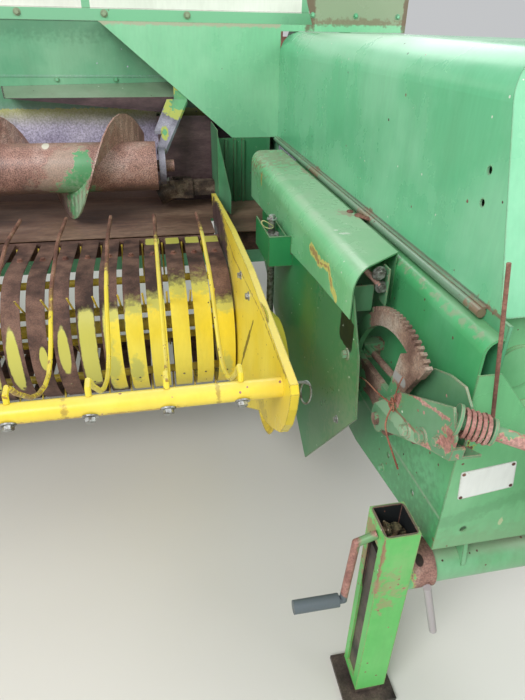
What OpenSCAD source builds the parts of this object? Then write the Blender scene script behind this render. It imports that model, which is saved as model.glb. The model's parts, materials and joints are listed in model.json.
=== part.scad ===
// Towed square baler: side pickup, cross auger, bale case on the left, parked on its jack.
// Datum while modelling: x = 0 on the centre line of the bale case, y = 0 on the front sheet,
// z = 0 on the ground. The front of the machine looks along -y, its left side along +x.

/* [Bale case] */
// Inner width of the bale chamber
chamber_w = 457; // [440:1:470]
// Inner height of the bale chamber
chamber_h = 356; // [340:1:370]
// Height of the chamber floor above the ground
floor_z = 714; // [708:1:722]
// Thickness of the chamber walls
wall = 6.5; // [5:0.5:8]
// Thickness of covers and guards
sheet = 3; // [2:0.5:4]
// Length of the bale case behind the front sheet
case_len = 3610; // [3400:10:3800]
// How far the skirts stand outside the chamber walls
skirt_out = 30; // [24:1:36]
// Height of the lowest edge of the skirts
skirt_z = 410; // [380:1:430]
// Height of the bottom edge of the front sheet
front_z = 480; // [450:1:500]

/* [Hood] */
// Height of the top of the hood
hood_top = 1308; // [1240:1:1320]
// Height of the bottom edge of the hood
hood_z = 956; // [950:1:980]
// Radius of the rounded long edges of the hood
hood_r = 70; // [30:1:90]
// Rear end of the hood behind the front sheet
hood_end = 1560; // [1500:10:1600]

/* [Feeder platform] */
// Front edge of the platform floor
platform_front = 1186; // [1186:1:1200]
// Front face of the back wall
back_y = 1665; // [1640:1:1700]
// Height of the top edge of the back wall
back_top = 1330; // [1320:1:1340]
// Outer diameter of the auger flight
auger_d = 342; // [300:1:344]
// Diameter of the auger tube
auger_tube_d = 163; // [140:1:170]
// Pitch of the auger flight
auger_pitch = 419; // [380:1:450]
// Height of the auger axis
auger_z = 895; // [890:1:900]
// Distance of the auger axis behind the front sheet
auger_y = 1393; // [1385:1:1400]

/* [Twine box] */
// Height of the closed twine box above the back wall
twine_h = 350; // [300:1:380]
// Depth of the twine box from front to rear
twine_depth = 420; // [380:1:440]

/* [Pickup] */
// Number of stripper bands
band_count = 23; // [20:1:23]
// Distance from one stripper band to the next
band_pitch = 64.5; // [62:0.5:66]
// Width of a stripper band
band_w = 49; // [44:1:52]
// Radius of the stripper bands
band_r = 202; // [195:1:204]
// Height of the tine reel axis
reel_z = 510; // [505:1:515]
// Distance of the tine reel axis behind the front sheet
reel_y = 940; // [930:1:950]
// Reach of the tine tips from the reel axis
tine_r = 275; // [255:1:276]
// Diameter of a tine wire
tine_d = 5.5; // [4:0.5:7]
// Number of tine bars
tine_bars = 4; // [3:1:4]

/* [Wind guard] */
// Diameter of the wind guard tube
guard_d = 38; // [32:1:42]
// Distance from one rod to the next
rod_pitch = 134; // [120:1:136]
// Diameter of a rod
rod_d = 11; // [8:1:12]

/* [Wheels] */
// Outer diameter of the road tyres
tyre_d = 700; // [680:2:720]
// Width of the road tyres
tyre_w = 230; // [200:2:236]
// Diameter of the rims
rim_d = 400; // [380:2:420]
// Distance of the axle behind the front sheet
axle_y = 1950; // [1930:1:1970]

/* [Tongue and jack] */
// Distance of the hitch pin in front of the front sheet
hitch_y = 1500; // [1450:10:1600]
// Side length of the tongue tube
tongue_s = 100; // [90:1:110]
// Width of the jack tube
jack_s = 69; // [60:1:72]
// Thickness of the jack tube
jack_t = 5; // [4:0.5:6]

/* [Chute] */
// Length of the bale chute
chute_len = 500; // [400:10:600]

/* [Hidden] */
$fn = 48;
gap = 0.3;
chamber_x = chamber_w / 2;
case_x = chamber_x + wall;
skirt_x = case_x + skirt_out;
case_z = floor_z - 14;
roof_z = floor_z + chamber_h;
first_band = -552;
pickup_left = first_band + 31;
pickup_right = first_band - band_pitch * (band_count - 1) - 35;
platform_out = 34 - pickup_right;
wheel_left_x = 300;
wheel_right_x = -platform_out + 150;
pivot_x = 60;
pivot_y = -340;
hitch_front = hitch_y + 45;
left_out = wheel_left_x + tyre_w;
right_out = -wheel_right_x + tyre_w;
rear_out = case_len + chute_len;
ox = (right_out - left_out) / 2;
oy = (hitch_front - rear_out) / 2;

// Moves the modelling datum to the middle of the footprint
module place() {
    translate([ox, oy, 0]) children();
}

// Plain block between two corners
module block(x0, x1, y0, y1, z0, z1) {
    translate([x0, y0, z0]) cube([x1 - x0, y1 - y0, z1 - z0]);
}

// Plate across x, its outline given as [y, z] points
module plate_x(x, t, pts) {
    translate([x, 0, 0]) rotate([90, 0, 90]) linear_extrude(t) polygon(pts);
}

// Plate across y, its outline given as [x, z] points
module plate_y(y, t, pts) {
    translate([0, y + t, 0]) rotate([90, 0, 0]) linear_extrude(t) polygon(pts);
}

// Round bar along x
module bar_x(x0, x1, y, z, d) {
    translate([x0, y, z]) rotate([0, 90, 0]) cylinder(h = x1 - x0, d = d);
}

// Round bar along y
module bar_y(y0, y1, x, z, d) {
    translate([x, y1, z]) rotate([90, 0, 0]) cylinder(h = y1 - y0, d = d);
}

// Round bar between two points
module rod(a, b, d) {
    v = b - a;
    translate(a) rotate([0, acos(v[2] / norm(v)), atan2(v[1], v[0])]) cylinder(h = norm(v), d = d);
}

// Faces of a tube of n + 1 rings with k points each
function tube_faces(n, k) = concat([[for (j = [0:k - 1]) j]], [[for (j = [k - 1:-1:0]) k * n + j]],
    [for (i = [0:n - 1]) for (j = [0:k - 1]) let (a = k * i + j, b = k * i + (j + 1) % k) each [[a, a + k, b], [b, a + k, b + k]]]);

// Outline of a strip of thickness t along an open path, on the right-hand side of its way
function strip(path, t) = let (n = len(path) - 1) concat(path, [for (i = [n:-1:0])
    let (v = path[min(i + 1, n)] - path[max(i - 1, 0)], d = v / norm(v)) path[i] + t * [d[1], -d[0]]]);

// Chamber wall with an ear for the top rails, a needle pivot pin and a lug for the chute
feed_front = 1240;
feed_rear = 1560;
rail_y = 2590;
rail_z = roof_z + 32;
chute_y = case_len + 22;
chute_z = floor_z - 14;
yoke_d = 30;
needle_x = 115;
needle_pivot_y = 2300;
needle_pivot_z = floor_z + chamber_h / 2;
needle_r = 450;
module chamber_wall() {
    top = roof_z + wall;
    difference() {
        plate_x(chamber_x, wall, [[sheet, front_z + 20], [1150, front_z + 20], [1230, case_z],
            [case_len, case_z], [case_len + 20, case_z - 20], [case_len + 42, case_z - 20],
            [case_len + 42, floor_z], [case_len, floor_z + 40], [case_len, top], [rail_y + 60, top],
            [rail_y + 30, rail_z + 25], [rail_y - 30, rail_z + 25], [rail_y - 60, top],
            [hood_end + 10, top], [hood_end + 10, hood_z], [sheet, hood_z]]);
        bar_x(chamber_x - 1, case_x + 1, rail_y, rail_z, 24 + run);
        bar_x(chamber_x - 1, case_x + 1, chute_y, chute_z, 20 + run);
    }
    bar_x(case_x - 1, case_x + 22, needle_pivot_y, needle_pivot_z, yoke_d);
}

module case_side_left() {
    color("seagreen") place() chamber_wall();
}

module case_side_right() {
    color("seagreen") place() difference() {
        mirror([1, 0, 0]) chamber_wall();
        block(-case_x - 1, -chamber_x + 1, feed_front, feed_rear, floor_z, hood_z - 16);
    }
}

// Needle slots in the floor and the roof
module needle_slots(z0, z1) {
    for (s = [-1, 1])
        block(s * needle_x - 18, s * needle_x + 18, needle_pivot_y - needle_r - 30,
            needle_pivot_y - needle_r + 110, z0, z1);
}

module case_floor() {
    color("dimgray") place() difference() {
        block(-chamber_x, chamber_x, 60, case_len, floor_z - 7, floor_z);
        needle_slots(floor_z - 8, floor_z + 1);
    }
}

module case_roof() {
    color("seagreen") place() difference() {
        block(-chamber_x, chamber_x, hood_end + 10, rail_y - 60, roof_z, roof_z + wall);
        needle_slots(roof_z - 1, roof_z + wall + 1);
    }
}

// Skirt with a rounded top edge that turns in to the chamber wall
skirt_top = hood_z - 20;
skirt_rear = 1230;
module skirt() {
    r = skirt_out - 4;
    intersection() {
        plate_x(-skirt_x, skirt_out, [[sheet, front_z], [400, skirt_z], [skirt_rear - 80, skirt_z],
            [skirt_rear, case_z - 120], [skirt_rear, skirt_top], [sheet, skirt_top]]);
        translate([0, 1300, 0]) rotate([90, 0, 0]) linear_extrude(1300) difference() {
            union() {
                translate([-skirt_x, 300]) square([sheet + 1, skirt_top - 300 - r]);
                translate([-skirt_x + r, skirt_top - r]) intersection() {
                    difference() {
                        circle(r = r);
                        circle(r = r - sheet - 1);
                    }
                    translate([-r, 0]) square([r, r]);
                }
                translate([-skirt_x + r, skirt_top - sheet - 1]) square([skirt_out - r, sheet + 1]);
            }
        }
    }
}

module skirt_right() {
    color("mediumseagreen") place() difference() {
        skirt();
        for (q = [[225, 516], [104, 524]]) bar_x(-skirt_x - 1, -skirt_x + sheet + 2, q[0], q[1], 13);
    }
}

module skirt_left() {
    color("mediumseagreen") place() mirror([1, 0, 0]) skirt();
}

module front_sheet() {
    color("mediumseagreen") place() {
        difference() {
            plate_y(0, sheet, [[-skirt_x, front_z], [skirt_x, front_z], [skirt_x, 875], [225, 875],
                [150, 785], [-150, 785], [-225, 875], [-skirt_x, 875]]);
            bar_y(-1, sheet + 1, -211, 527, 14);
        }
        block(-chamber_x, chamber_x, sheet, 60, 770, 773);
        block(-chamber_x, chamber_x, 57, 60, 773, hood_z + 20);
        bar_y(50, 57, -160, 847, 80);
    }
}

// Arched section of the hood: flat top with round edges
module arch(w, top, r) {
    translate([-w, 0]) square([2 * w, top - r]);
    translate([-w + r, 0]) square([2 * (w - r), top]);
    for (s = [-1, 1]) translate([s * (w - r), top - r]) circle(r = r);
}

hood_foot = 26;
hood_lean = 0.33;
hood_bead = 16;
module hood_solid(inset, tail) {
    intersection() {
        translate([0, hood_end + tail, 0]) rotate([90, 0, 0]) linear_extrude(hood_end)
            arch(case_x - inset, hood_top - inset, hood_r - inset);
        plate_x(-400, 800, [[hood_foot + inset, hood_z - inset],
            [hood_foot + hood_lean * (hood_top + 10 - hood_z) + inset, hood_top + 10],
            [hood_end + tail, hood_top + 10], [hood_end + tail, hood_z - inset]]);
    }
}

module hood() {
    bead_x = case_x + gap + hood_bead / 2;
    color("mediumaquamarine") place() difference() {
        union() {
            difference() {
                hood_solid(0, 0);
                hood_solid(sheet, 1);
            }
            for (s = [-1, 1]) {
                bar_y(hood_foot + 36, hood_end - 4, s * bead_x, hood_z - hood_bead / 2 + 1, hood_bead);
                block(min(s * bead_x, s * (case_x - sheet)), max(s * bead_x, s * (case_x - sheet)),
                    hood_foot + 36, hood_end - 4, hood_z, hood_z + sheet);
            }
        }
        for (q = [[137, 1146], [137, 1098], [1437, 997]])
            bar_x(-case_x - 1, -case_x + sheet + 1, q[0], q[1], 12);
    }
}

panel_x = 858;
module hood_end_panel() {
    color("mediumaquamarine") place() {
        plate_y(hood_end + gap, sheet, [[-panel_x, back_top], [-case_x + 2, back_top], [-case_x + 2, hood_z + gap],
            [-case_x - 178, hood_z + gap]]);
        plate_y(hood_end + gap, sheet, [[-case_x, hood_top + 1], [case_x, hood_top + 1], [case_x, back_top],
            [-case_x, back_top]]);
        block(-panel_x, case_x, hood_end + gap, back_y, back_top - sheet, back_top);
        plate_y(hood_end + gap, sheet, [[-119, back_top - 1], [case_x, back_top - 1], [case_x, 1420], [-150, 1420]]);
    }
}

block_out = 150;
block_rear = 900;
block_top = 930;
module drive_block() {
    color("dimgray") place() {
        block(-block_out, block_out, 150, block_rear, floor_z, block_top);
        block(-90, 90, 60 + gap, 150, floor_z + 10, 860);
    }
}

module feeder_floor() {
    color("sienna") place() {
        difference() {
            block(-platform_out, -case_x - gap, platform_front, back_y, floor_z - sheet, floor_z);
            for (x = [pickup_left, pickup_right - sheet])
                block(x - 8, x + sheet + 8, platform_front - 1, 1352, floor_z - sheet - 1, floor_z + 1);
            block(-skirt_x - gap, -case_x + 1, platform_front - 1, skirt_rear + gap, floor_z - sheet - 1, floor_z + 1);
        }
        for (x = [pickup_left + sheet + 8, pickup_right - sheet - 16])
            plate_x(x, 8, [[platform_front, floor_z - sheet], [1300, floor_z - sheet], [hinge_y + 25, hinge_z - 25],
                [hinge_y - 25, hinge_z - 25], [hinge_y - 25, hinge_z + 25]]);
        bar_x(pickup_left - 4, pickup_left + sheet + 9, hinge_y, hinge_z, hinge_d);
        bar_x(pickup_right - sheet - 9, pickup_right + 4, hinge_y, hinge_z, hinge_d);
    }
}

module feeder_back() {
    color("mediumseagreen") place() {
        block(-platform_out, -case_x - gap, back_y, back_y + sheet, floor_z - 60, back_top);
        block(-platform_out, -case_x - gap, back_y - 2, back_y, 1155, 1160);
    }
}

module feeder_end() {
    color("mediumseagreen") place() {
        plate_x(-platform_out - sheet, sheet, [[platform_front, 560], [back_y - 120, 560], [back_y + sheet, 660],
            [back_y + sheet, back_top], [1330, back_top], [1130, 1000], [1130, 600]]);
        bar_x(-platform_out - 12, -platform_out, auger_y, auger_z, 110);
        bar_x(-platform_out - 2, auger_right + 66, auger_y, auger_z, stub_d);
    }
}

// Recess beside the case: side wall with a guide flange in front, and a ribbed rear wall
housing_x = -494;
housing_y = 1360;
module feeder_housing() {
    color("seagreen") place() {
        block(housing_x, housing_x + sheet, housing_y, hood_end, floor_z, 1015);
        plate_y(housing_y, sheet, [[housing_x + 1, 765], [-448, 718], [-447, 790], [housing_x + 1, 1008]]);
        block(housing_x + 1, -skirt_x - gap, hood_end - sheet, hood_end, floor_z, hood_z);
        for (x = [-438, -404, -372]) block(x - 5, x + 5, hood_end - 14, hood_end - sheet + 1, floor_z, hood_z - 4);
    }
}

auger_end = 706;
stub_d = 40;
auger_right = pickup_right + 11;
module auger() {
    color("saddlebrown") place() {
        difference() {
            bar_x(auger_right, -auger_end, auger_y, auger_z, auger_tube_d);
            bar_x(auger_right - 1, auger_right + 70, auger_y, auger_z, stub_d + 2 * run);
        }
        bar_x(-auger_end - 5, -auger_end + 60, auger_y, auger_z, stub_d);
        flight();
    }
}

// One helical sheet, wound left-handed about the tube
flight_steps = 24;
flight_start = 742;
module flight() {
    turns = (-auger_right - 10 - flight_start) / auger_pitch;
    n = round(flight_steps * turns);
    ri = auger_tube_d / 2 - 4;
    ro = auger_d / 2;
    x0 = -flight_start;
    pts = [for (i = [0:n]) let (a = 360 * turns * i / n - 60, x = x0 - auger_pitch * turns * i / n)
        for (q = [[ri, 0], [ro, 0], [ro, -5], [ri, -5]])
            [x + q[1], auger_y - q[0] * sin(a), auger_z + q[0] * cos(a)]];
    faces = concat([[0, 1, 2, 3]], [[4 * n + 3, 4 * n + 2, 4 * n + 1, 4 * n]],
        [for (i = [0:n - 1]) for (k = [0:3])
            let (a = 4 * i + k, b = 4 * i + (k + 1) % 4)
            each [[a, a + 4, b], [b, a + 4, b + 4]]]);
    polyhedron(points = pts, faces = faces);
}

// Strap that hangs the auger's inner bearing from the back of the diagonal panel, with a flange beside it
arm_top = 1078;
module auger_arm() {
    x0 = -auger_end + 8;
    y0 = hood_end + sheet + 2 * gap;
    color("seagreen") place() difference() {
        union() {
            bar_x(x0, x0 + 22, auger_y, auger_z, 124);
            hull() {
                block(-624, -576, y0, y0 + 4, arm_top, arm_top + 12);
                block(x0 - 4, x0 + 30, auger_y + 44, auger_y + 48, auger_z + 30, auger_z + 48);
            }
            hull() {
                block(-650, -622, y0 + 7, y0 + 11, arm_top, arm_top + 12);
                block(-704, -674, auger_y + 91, auger_y + 95, auger_z + 90, auger_z + 102);
            }
            block(-624, -576, y0, y0 + 8, arm_top, arm_top + 70);
        }
        bar_x(x0 - 1, x0 + 23, auger_y, auger_z, stub_d + 2 * run);
    }
}

// Wedge along the back wall that turns the hay under the diagonal panel, and the scoured panel below it
wedge_y = 1580;
module deflector() {
    color("sienna") place() polyhedron(
        points = [[-1209, wedge_y, 1094], [-600, wedge_y, 1097], [-600, wedge_y, 1046], [-672, wedge_y, 1046],
            [-1229, back_y - gap, 1125], [-600, back_y - gap, 1140], [-600, back_y - gap, 1036]],
        faces = [[0, 1, 2, 3], [0, 4, 5, 1], [1, 5, 6, 2], [3, 2, 6], [0, 3, 4], [4, 3, 6], [4, 6, 5]]);
    color("sienna") place() {
        block(-690, -480, wedge_y + 20, wedge_y + 20 + sheet, floor_z + gap, 1030);
        for (x = [-690, -480 - sheet]) block(x, x + sheet, wedge_y + 20, back_y - gap, floor_z + gap, 1030);
    }
}

// Open knuckle that hangs at the end of the square shaft
shaft_y = 1500;
shaft_z = 790;
shaft_s = 50;
module auger_drive() {
    h = shaft_s / 2;
    color("saddlebrown") place() {
        difference() {
            translate([-640, shaft_y, shaft_z + 4]) rotate([0, -111, 0]) cylinder(h = 72, d = 82);
            translate([-640, shaft_y, shaft_z + 4]) rotate([0, -111, 0]) translate([0, 0, 40]) cylinder(h = 40, d = 46);
        }
        for (s = [-1, 1]) block(-664, -600, shaft_y + s * 30 - 6, shaft_y + s * 30 + 6, shaft_z - 30, shaft_z + 34);
        block(-612, -578, shaft_y - 36, shaft_y + 36, shaft_z - 32, shaft_z + 32);
        block(-590, -494 - gap, shaft_y - h, shaft_y + h, shaft_z - h, shaft_z + h);
    }
}

flange_h = 38;
lid_drop = 30;
lid_z = back_top + twine_h - lid_drop;
lid_rear = back_y + twine_depth + 14;
lid_pin_y = lid_rear + 12;
lid_pin_d = 10;
lid_barrel = 40;
lid_hinges = [-platform_out + 400, case_x - 400];
module twine_box() {
    t = sheet;
    y0 = back_y;
    y1 = back_y + twine_depth;
    color("gainsboro") place() {
        difference() {
            block(-platform_out, case_x, y0, y1, back_top, back_top + twine_h);
            block(-platform_out + t, case_x - t, y0 + t, y1 - t, back_top + t, back_top + twine_h + 1);
        }
        block(-platform_out, case_x, y0 - t, y0, back_top, back_top + flange_h);
    }
}

// Hinge lugs and pins behind the twine box
module lid_lugs() {
    y1 = back_y + twine_depth;
    color("gray") place() for (x = lid_hinges) {
        block(x - lid_barrel / 2 - 7, x + lid_barrel / 2 + 7, y1, y1 + 4, lid_z - 60, lid_z - 12);
        for (k = [x - lid_barrel / 2 - 7, x + lid_barrel / 2 + 1]) {
            plate_x(k, 6, [[y1, lid_z - 45], [y1, lid_z - 12], [lid_pin_y - 6, lid_z - 7], [lid_pin_y + 8, lid_z - 4]]);
            bar_x(k, k + 6, lid_pin_y, lid_z, 18);
        }
        bar_x(x - lid_barrel / 2 - 7, x + lid_barrel / 2 + 7, lid_pin_y, lid_z, lid_pin_d);
    }
}

module twine_lid() {
    color("mediumseagreen") place() difference() {
        union() {
            difference() {
                block(-platform_out - 8, case_x + 8, back_y - 8, lid_rear, lid_z, back_top + twine_h + 4);
                block(-platform_out - 5.5, case_x + 5.5, back_y - 5.5, lid_rear - 2.5, lid_z - 1,
                    back_top + twine_h + gap);
            }
            for (x = lid_hinges) {
                block(x - lid_barrel / 2, x + lid_barrel / 2, lid_rear - 2, lid_pin_y, lid_z, lid_z + 9);
                bar_x(x - lid_barrel / 2, x + lid_barrel / 2, lid_pin_y, lid_z, 18);
            }
        }
        for (x = lid_hinges)
            bar_x(x - lid_barrel / 2 - 1, x + lid_barrel / 2 + 1, lid_pin_y, lid_z, lid_pin_d + run);
    }
}

shield_z = 950;
shield_w = 120;
shield_front = 240;
shield_rear = 1344;
shield_r = 40;
shield_corner = 60;

// Cover with a rounded outer edge and a rounded rear corner, made smaller all round by an inset
module shield_form(inset, low) {
    x = -skirt_x - shield_w + inset;
    r = shield_r - inset;
    rc = shield_corner - inset;
    rear = shield_rear - inset;
    right = -skirt_x - gap - inset;
    intersection() {
        translate([0, 0, low]) linear_extrude(400) {
            polygon([[right, shield_front + 87 - 8 * inset], [x, shield_front - 8 * inset], [x, rear - rc], [x + rc, rear],
                [right, rear]]);
            translate([x + rc, rear - rc]) circle(r = rc);
        }
        translate([0, shield_rear + 10, 0]) rotate([90, 0, 0]) linear_extrude(shield_rear) {
            translate([x, low - 2]) square([right - x, shield_z - inset - r - low + 2]);
            translate([x + r, low - 2]) square([right - x - r, shield_z - inset - low + 2]);
            translate([x + r, shield_z - inset - r]) circle(r = r);
        }
    }
}

module drive_shield() {
    color("mediumaquamarine") place() intersection() {
        difference() {
            shield_form(0, 780);
            shield_form(sheet, 779);
        }
        plate_x(-skirt_x - shield_w - 5, shield_w + 10, [[180, 868], [244, 856], [476, 839], [703, 816], [949, 826],
            [1246, 807], [1400, 800], [1400, 1000], [180, 1000]]);
    }
}

plate_out = 115;
module shield_plate() {
    color("seagreen") place() {
        plate_x(-skirt_x - plate_out, 4, [[250, 900], [1110, 900], [1104, 672], [460, 316], [167, 676], [190, 800]]);
        block(-skirt_x - plate_out + 4, -skirt_x, 880, 920, 700, 740);
        block(-skirt_x - plate_out + 4, -skirt_x, 420, 460, 520, 560);
        for (x = [-444, -400]) block(x, x + 4, 700, 880, 780, 860);
        block(-444, -skirt_x - shield_w - gap, 696, 704, 780, 860);
        block(-skirt_x - shield_w - 1, -skirt_x - plate_out + 1, 696, 704, 780, 812);
    }
}

// Threaded rod that carries the weight of the pickup, with a cross pin that turns in the bracket
float_x = -418;
float_y = 786;
module float_rod() {
    color("silver") place() {
        bar_x(-440 + gap, -400 - gap, float_y, 830, 30);
        translate([float_x, float_y, 590]) cylinder(h = 290, d = 20);
        difference() {
            bar_x(float_x - 10, float_x + 10, float_y, 570, 46);
            bar_x(float_x - 11, float_x + 11, float_y, 570, 22);
        }
    }
}

quad_y = 159;
quad_z = 681;
quad_r = 211;
quad_x = -320;
quad_teeth = 19;
lever_d = 24;
// Toothed sector with a hub, two spokes and a strut, and the pin that its hub carries
module lift_quadrant() {
    tooth = 64 / (quad_teeth - 1);
    color("sienna") place() {
        translate([quad_x - 6, quad_y, quad_z]) rotate([90, 0, 90]) linear_extrude(12) {
            intersection() {
                difference() {
                    circle(r = quad_r - 5, $fn = 96);
                    circle(r = quad_r - 33, $fn = 96);
                }
                polygon([[0, 0], [400, 35], [400, 400], [0, 400], [-250, 400]]);
            }
            for (k = [0:quad_teeth - 1]) rotate(57 + tooth * k) translate([quad_r - 8, -3]) square([11, 6]);
            circle(d = 70);
            polygon([[-14, 9], [16, 9], [-22, 158], [-64, 185], [-98, 163], [-64, 111]]);
            polygon([[-10, 20], [-10, -20], [189, 17], [178, 44]]);
            polygon([[147, -18], [159, 49], [-157, 68], [-118, 35]]);
        }
        bar_x(quad_x - 26, -skirt_x, quad_y, quad_z, lever_d);
        block(quad_x + 5, -skirt_x, quad_y + 180, quad_y + 202, quad_z + 22, quad_z + 46);
        rod([quad_x + 17, 340, 738], [quad_x + 17, 166, 756], 14);
        block(quad_x + 10, -skirt_x, 325, 350, 728, 748);
    }
}

// Lever with two cheeks round its pivot, and a pipe that carries a coil spring between two washers
lever_out = -340;
lever_in = -294;
pipe_at = [-334, -58, 849];
pipe_turn = [0, 100.4, -26.6];
pipe_len = 225;
washer = 5;
spring_at = washer + 4;
spring_turns = 5;
spring_len = 44;
module lift_lever() {
    heel = [[quad_y - 26, quad_z - 6], [quad_y + 18, quad_z - 16], [quad_y + 22, quad_z + 20]];
    color("seagreen") place() {
        difference() {
            union() {
                plate_x(lever_out, 4, concat(heel, [[91, 791], [-63, 874], [-85, 835], [-83, 793], [-18, 762]]));
                plate_x(lever_in, 4, concat(heel, [[106, 812], [80, 842], [29, 862], [-14, 869], [-38, 850], [-48, 815],
                    [-44, 775], [-18, 762]]));
                plate_x(lever_out, lever_in - lever_out + 4, [[-18, 762], [-18, 767], [-83, 798], [-83, 793]]);
                plate_x(lever_out, 20, [[-85, 815], [-83, 793], [-78, 793], [-80, 815]]);
                for (x = [lever_out, lever_in]) bar_x(x, x + 4, quad_y, quad_z, 52);
            }
            bar_x(lever_out - 1, lever_in + 5, quad_y, quad_z, lever_d + run);
        }
        translate(pipe_at) rotate(pipe_turn) {
            translate([0, 0, -2]) cylinder(h = pipe_len, d = 22);
            translate([0, 0, spring_at - washer]) cylinder(h = washer, d = 50);
            translate([0, 0, spring_at + spring_len + 2 * gap]) cylinder(h = washer, d = 40);
        }
    }
}

// Coil spring round the pipe, between its two washers
module lever_spring() {
    wire = 6;
    r = 20;
    n = 12 * spring_turns;
    z0 = spring_at + gap + wire / 2;
    rise = (spring_len - wire) / n;
    pts = [for (i = [0:n]) for (b = [0:60:300])
        [(r + wire / 2 * cos(b)) * cos(30 * i), (r + wire / 2 * cos(b)) * sin(30 * i), z0 + rise * i + wire / 2 * sin(b)]];
    color("sienna") place() translate(pipe_at) rotate(pipe_turn) polyhedron(points = pts, faces = tube_faces(n, 6));
}

// Cross tube under the front sheet that holds the jack, with gussets up to the case
cross_y = 44;
cross_z = 387;
cross_d = 84;
module front_frame() {
    color("mediumseagreen") place() {
        bar_x(jack_x, skirt_x, cross_y, cross_z, cross_d);
        for (s = [-1, 1])
            plate_x(s * 180 - 5, 10, [[cross_y - 38, cross_z + 20], [cross_y + 38, cross_z + 20],
                [200, floor_z - 7], [60, floor_z - 7]]);
        block(pivot_x - 60, pivot_x + 60, pivot_y + 60, cross_y, cross_z - 20, cross_z + 20);
        difference() {
            union() {
                for (z = [cross_z - 70, cross_z + 55]) {
                    block(pivot_x - 60, pivot_x + 60, pivot_y, pivot_y + 130, z, z + 15);
                    translate([pivot_x, pivot_y, z]) cylinder(h = 15, d = 120);
                }
                block(pivot_x - 60, pivot_x + 60, pivot_y + 100, pivot_y + 130, cross_z - 70, cross_z + 70);
            }
            translate([pivot_x, pivot_y, cross_z - 80]) cylinder(h = 200, d = 40);
        }
    }
}

jack_x = -skirt_x - 38;
jack_y = 27;
jack_depth = 78;
jack_low = 40;
jack_top = 547;
module jack_tube() {
    y0 = jack_y - jack_depth / 2;
    y1 = jack_y + jack_depth / 2;
    color("limegreen") place() difference() {
        block(jack_x - jack_s, jack_x, y0, y1, jack_low, jack_top);
        block(jack_x - jack_s + jack_t, jack_x - jack_t, y0 + jack_t, y1 - jack_t, jack_low - 1, jack_top + 1);
        block(jack_x - jack_s - 1, jack_x - jack_s + jack_t + 1, y0 + 20, y1 - 18, jack_low + 20, jack_top - 47);
    }
}

module jack_leg() {
    c = jack_t + gap;
    foot = 60;
    color("gray") place() {
        block(jack_x - jack_s + c, jack_x - c, jack_y - jack_depth / 2 + c, jack_y + jack_depth / 2 - c, 12, jack_top - 77);
        block(jack_x - jack_s / 2 - foot, jack_x - jack_s / 2 + foot, jack_y - foot, jack_y + foot, 0, 12);
    }
}

// Crank on the side of the jack, its arm hanging down and its grip standing out
module crank() {
    corners = [[jack_x - jack_s - gap, 20, 523], [-411, 20, 508], [-420, 20, 341], [-523, 20, 342]];
    color("gray") place() difference() {
        union() {
            for (i = [0:2]) rod(corners[i], corners[i + 1], 16);
            for (i = [1:2]) translate(corners[i]) sphere(d = 16.2);
            rod([-430, 20, 341], [-523, 20, 342], 27);
        }
        block(jack_x - jack_s - gap, jack_x, 0, 40, 490, 550);
    }
}

// Collar on the cross tube beside the jack, and the pin that hangs from its hole
module collar() {
    pin = [[-258, -7, 376], [-219, -12, 226]];
    color("sienna") place() {
        difference() {
            bar_x(jack_x + gap, -239, cross_y, cross_z, 96);
            bar_x(jack_x - 1, -238, cross_y, cross_z, cross_d + run);
            rod(pin[0] + [3, 0, 12], pin[1], 16 + 2 * gap);
            translate([-285, cross_y, cross_z - 60]) cylinder(h = 120, d = 15);
        }
        rod(pin[0], pin[1], 16);
    }
}

pin_d = 39.9;
module tongue() {
    z0 = cross_z - tongue_s / 2;
    color("mediumseagreen") place() {
        difference() {
            union() {
                block(pivot_x - tongue_s / 2, pivot_x + tongue_s / 2, -hitch_y + 150, pivot_y - 60, z0, z0 + tongue_s);
                block(pivot_x - tongue_s / 2, pivot_x + tongue_s / 2, pivot_y - 60, pivot_y, z0, z0 + tongue_s);
                translate([pivot_x, pivot_y, z0]) cylinder(h = tongue_s, d = tongue_s);
            }
        }
        translate([pivot_x, pivot_y, cross_z - 75]) cylinder(h = 150, d = pin_d);
        difference() {
            union() {
                block(pivot_x - 45, pivot_x + 45, -hitch_y, -hitch_y + 150, cross_z - 15, cross_z + 15);
                translate([pivot_x, -hitch_y, cross_z - 15]) cylinder(h = 30, d = 90);
            }
            translate([pivot_x, -hitch_y, cross_z - 20]) cylinder(h = 40, d = 32);
        }
    }
}

pto_z = 710;
pto_drop = 120;
pto_len = 1130;
pto_angle = atan(pto_drop / 1150);
stand_at = 900;
module pto_frame() {
    translate([pivot_x, pivot_y - 10, pto_z]) rotate([90 + pto_angle, 0, 0]) children();
}

module pto_stand() {
    color("mediumseagreen") place() {
        difference() {
            union() {
                pto_frame() translate([0, 0, stand_at - 20]) cylinder(h = 40, d = 80);
                block(pivot_x - 12, pivot_x + 12, pivot_y - stand_at - 20, pivot_y - stand_at + 20,
                    cross_z + tongue_s / 2, 600);
            }
            pto_frame() translate([0, 0, stand_at - 60]) cylinder(h = 120, d = 40.1);
        }
        block(pivot_x - 45, pivot_x + 45, pivot_y - stand_at - 40, pivot_y - stand_at + 40,
            cross_z + tongue_s / 2, cross_z + tongue_s / 2 + 8);
    }
}

module pto_shaft() {
    color("gold") place() pto_frame() difference() {
        union() {
            cylinder(h = pto_len, d = 40);
            cylinder(h = 90, d = 86);
            translate([0, 0, 150]) cylinder(h = stand_at - 220, d = 90);
            translate([0, 0, pto_len - 110]) cylinder(h = 110, d = 80);
        }
        translate([0, 0, pto_len - 80]) cylinder(h = 81, d = 35);
    }
}

module flywheel() {
    color("dimgray") place() {
        bar_y(-262, -200, pivot_x, pto_z, 460);
        bar_y(-320, -262, pivot_x, pto_z, 90);
        bar_y(-200, -gap, pivot_x, pto_z, 70);
    }
}

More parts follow.
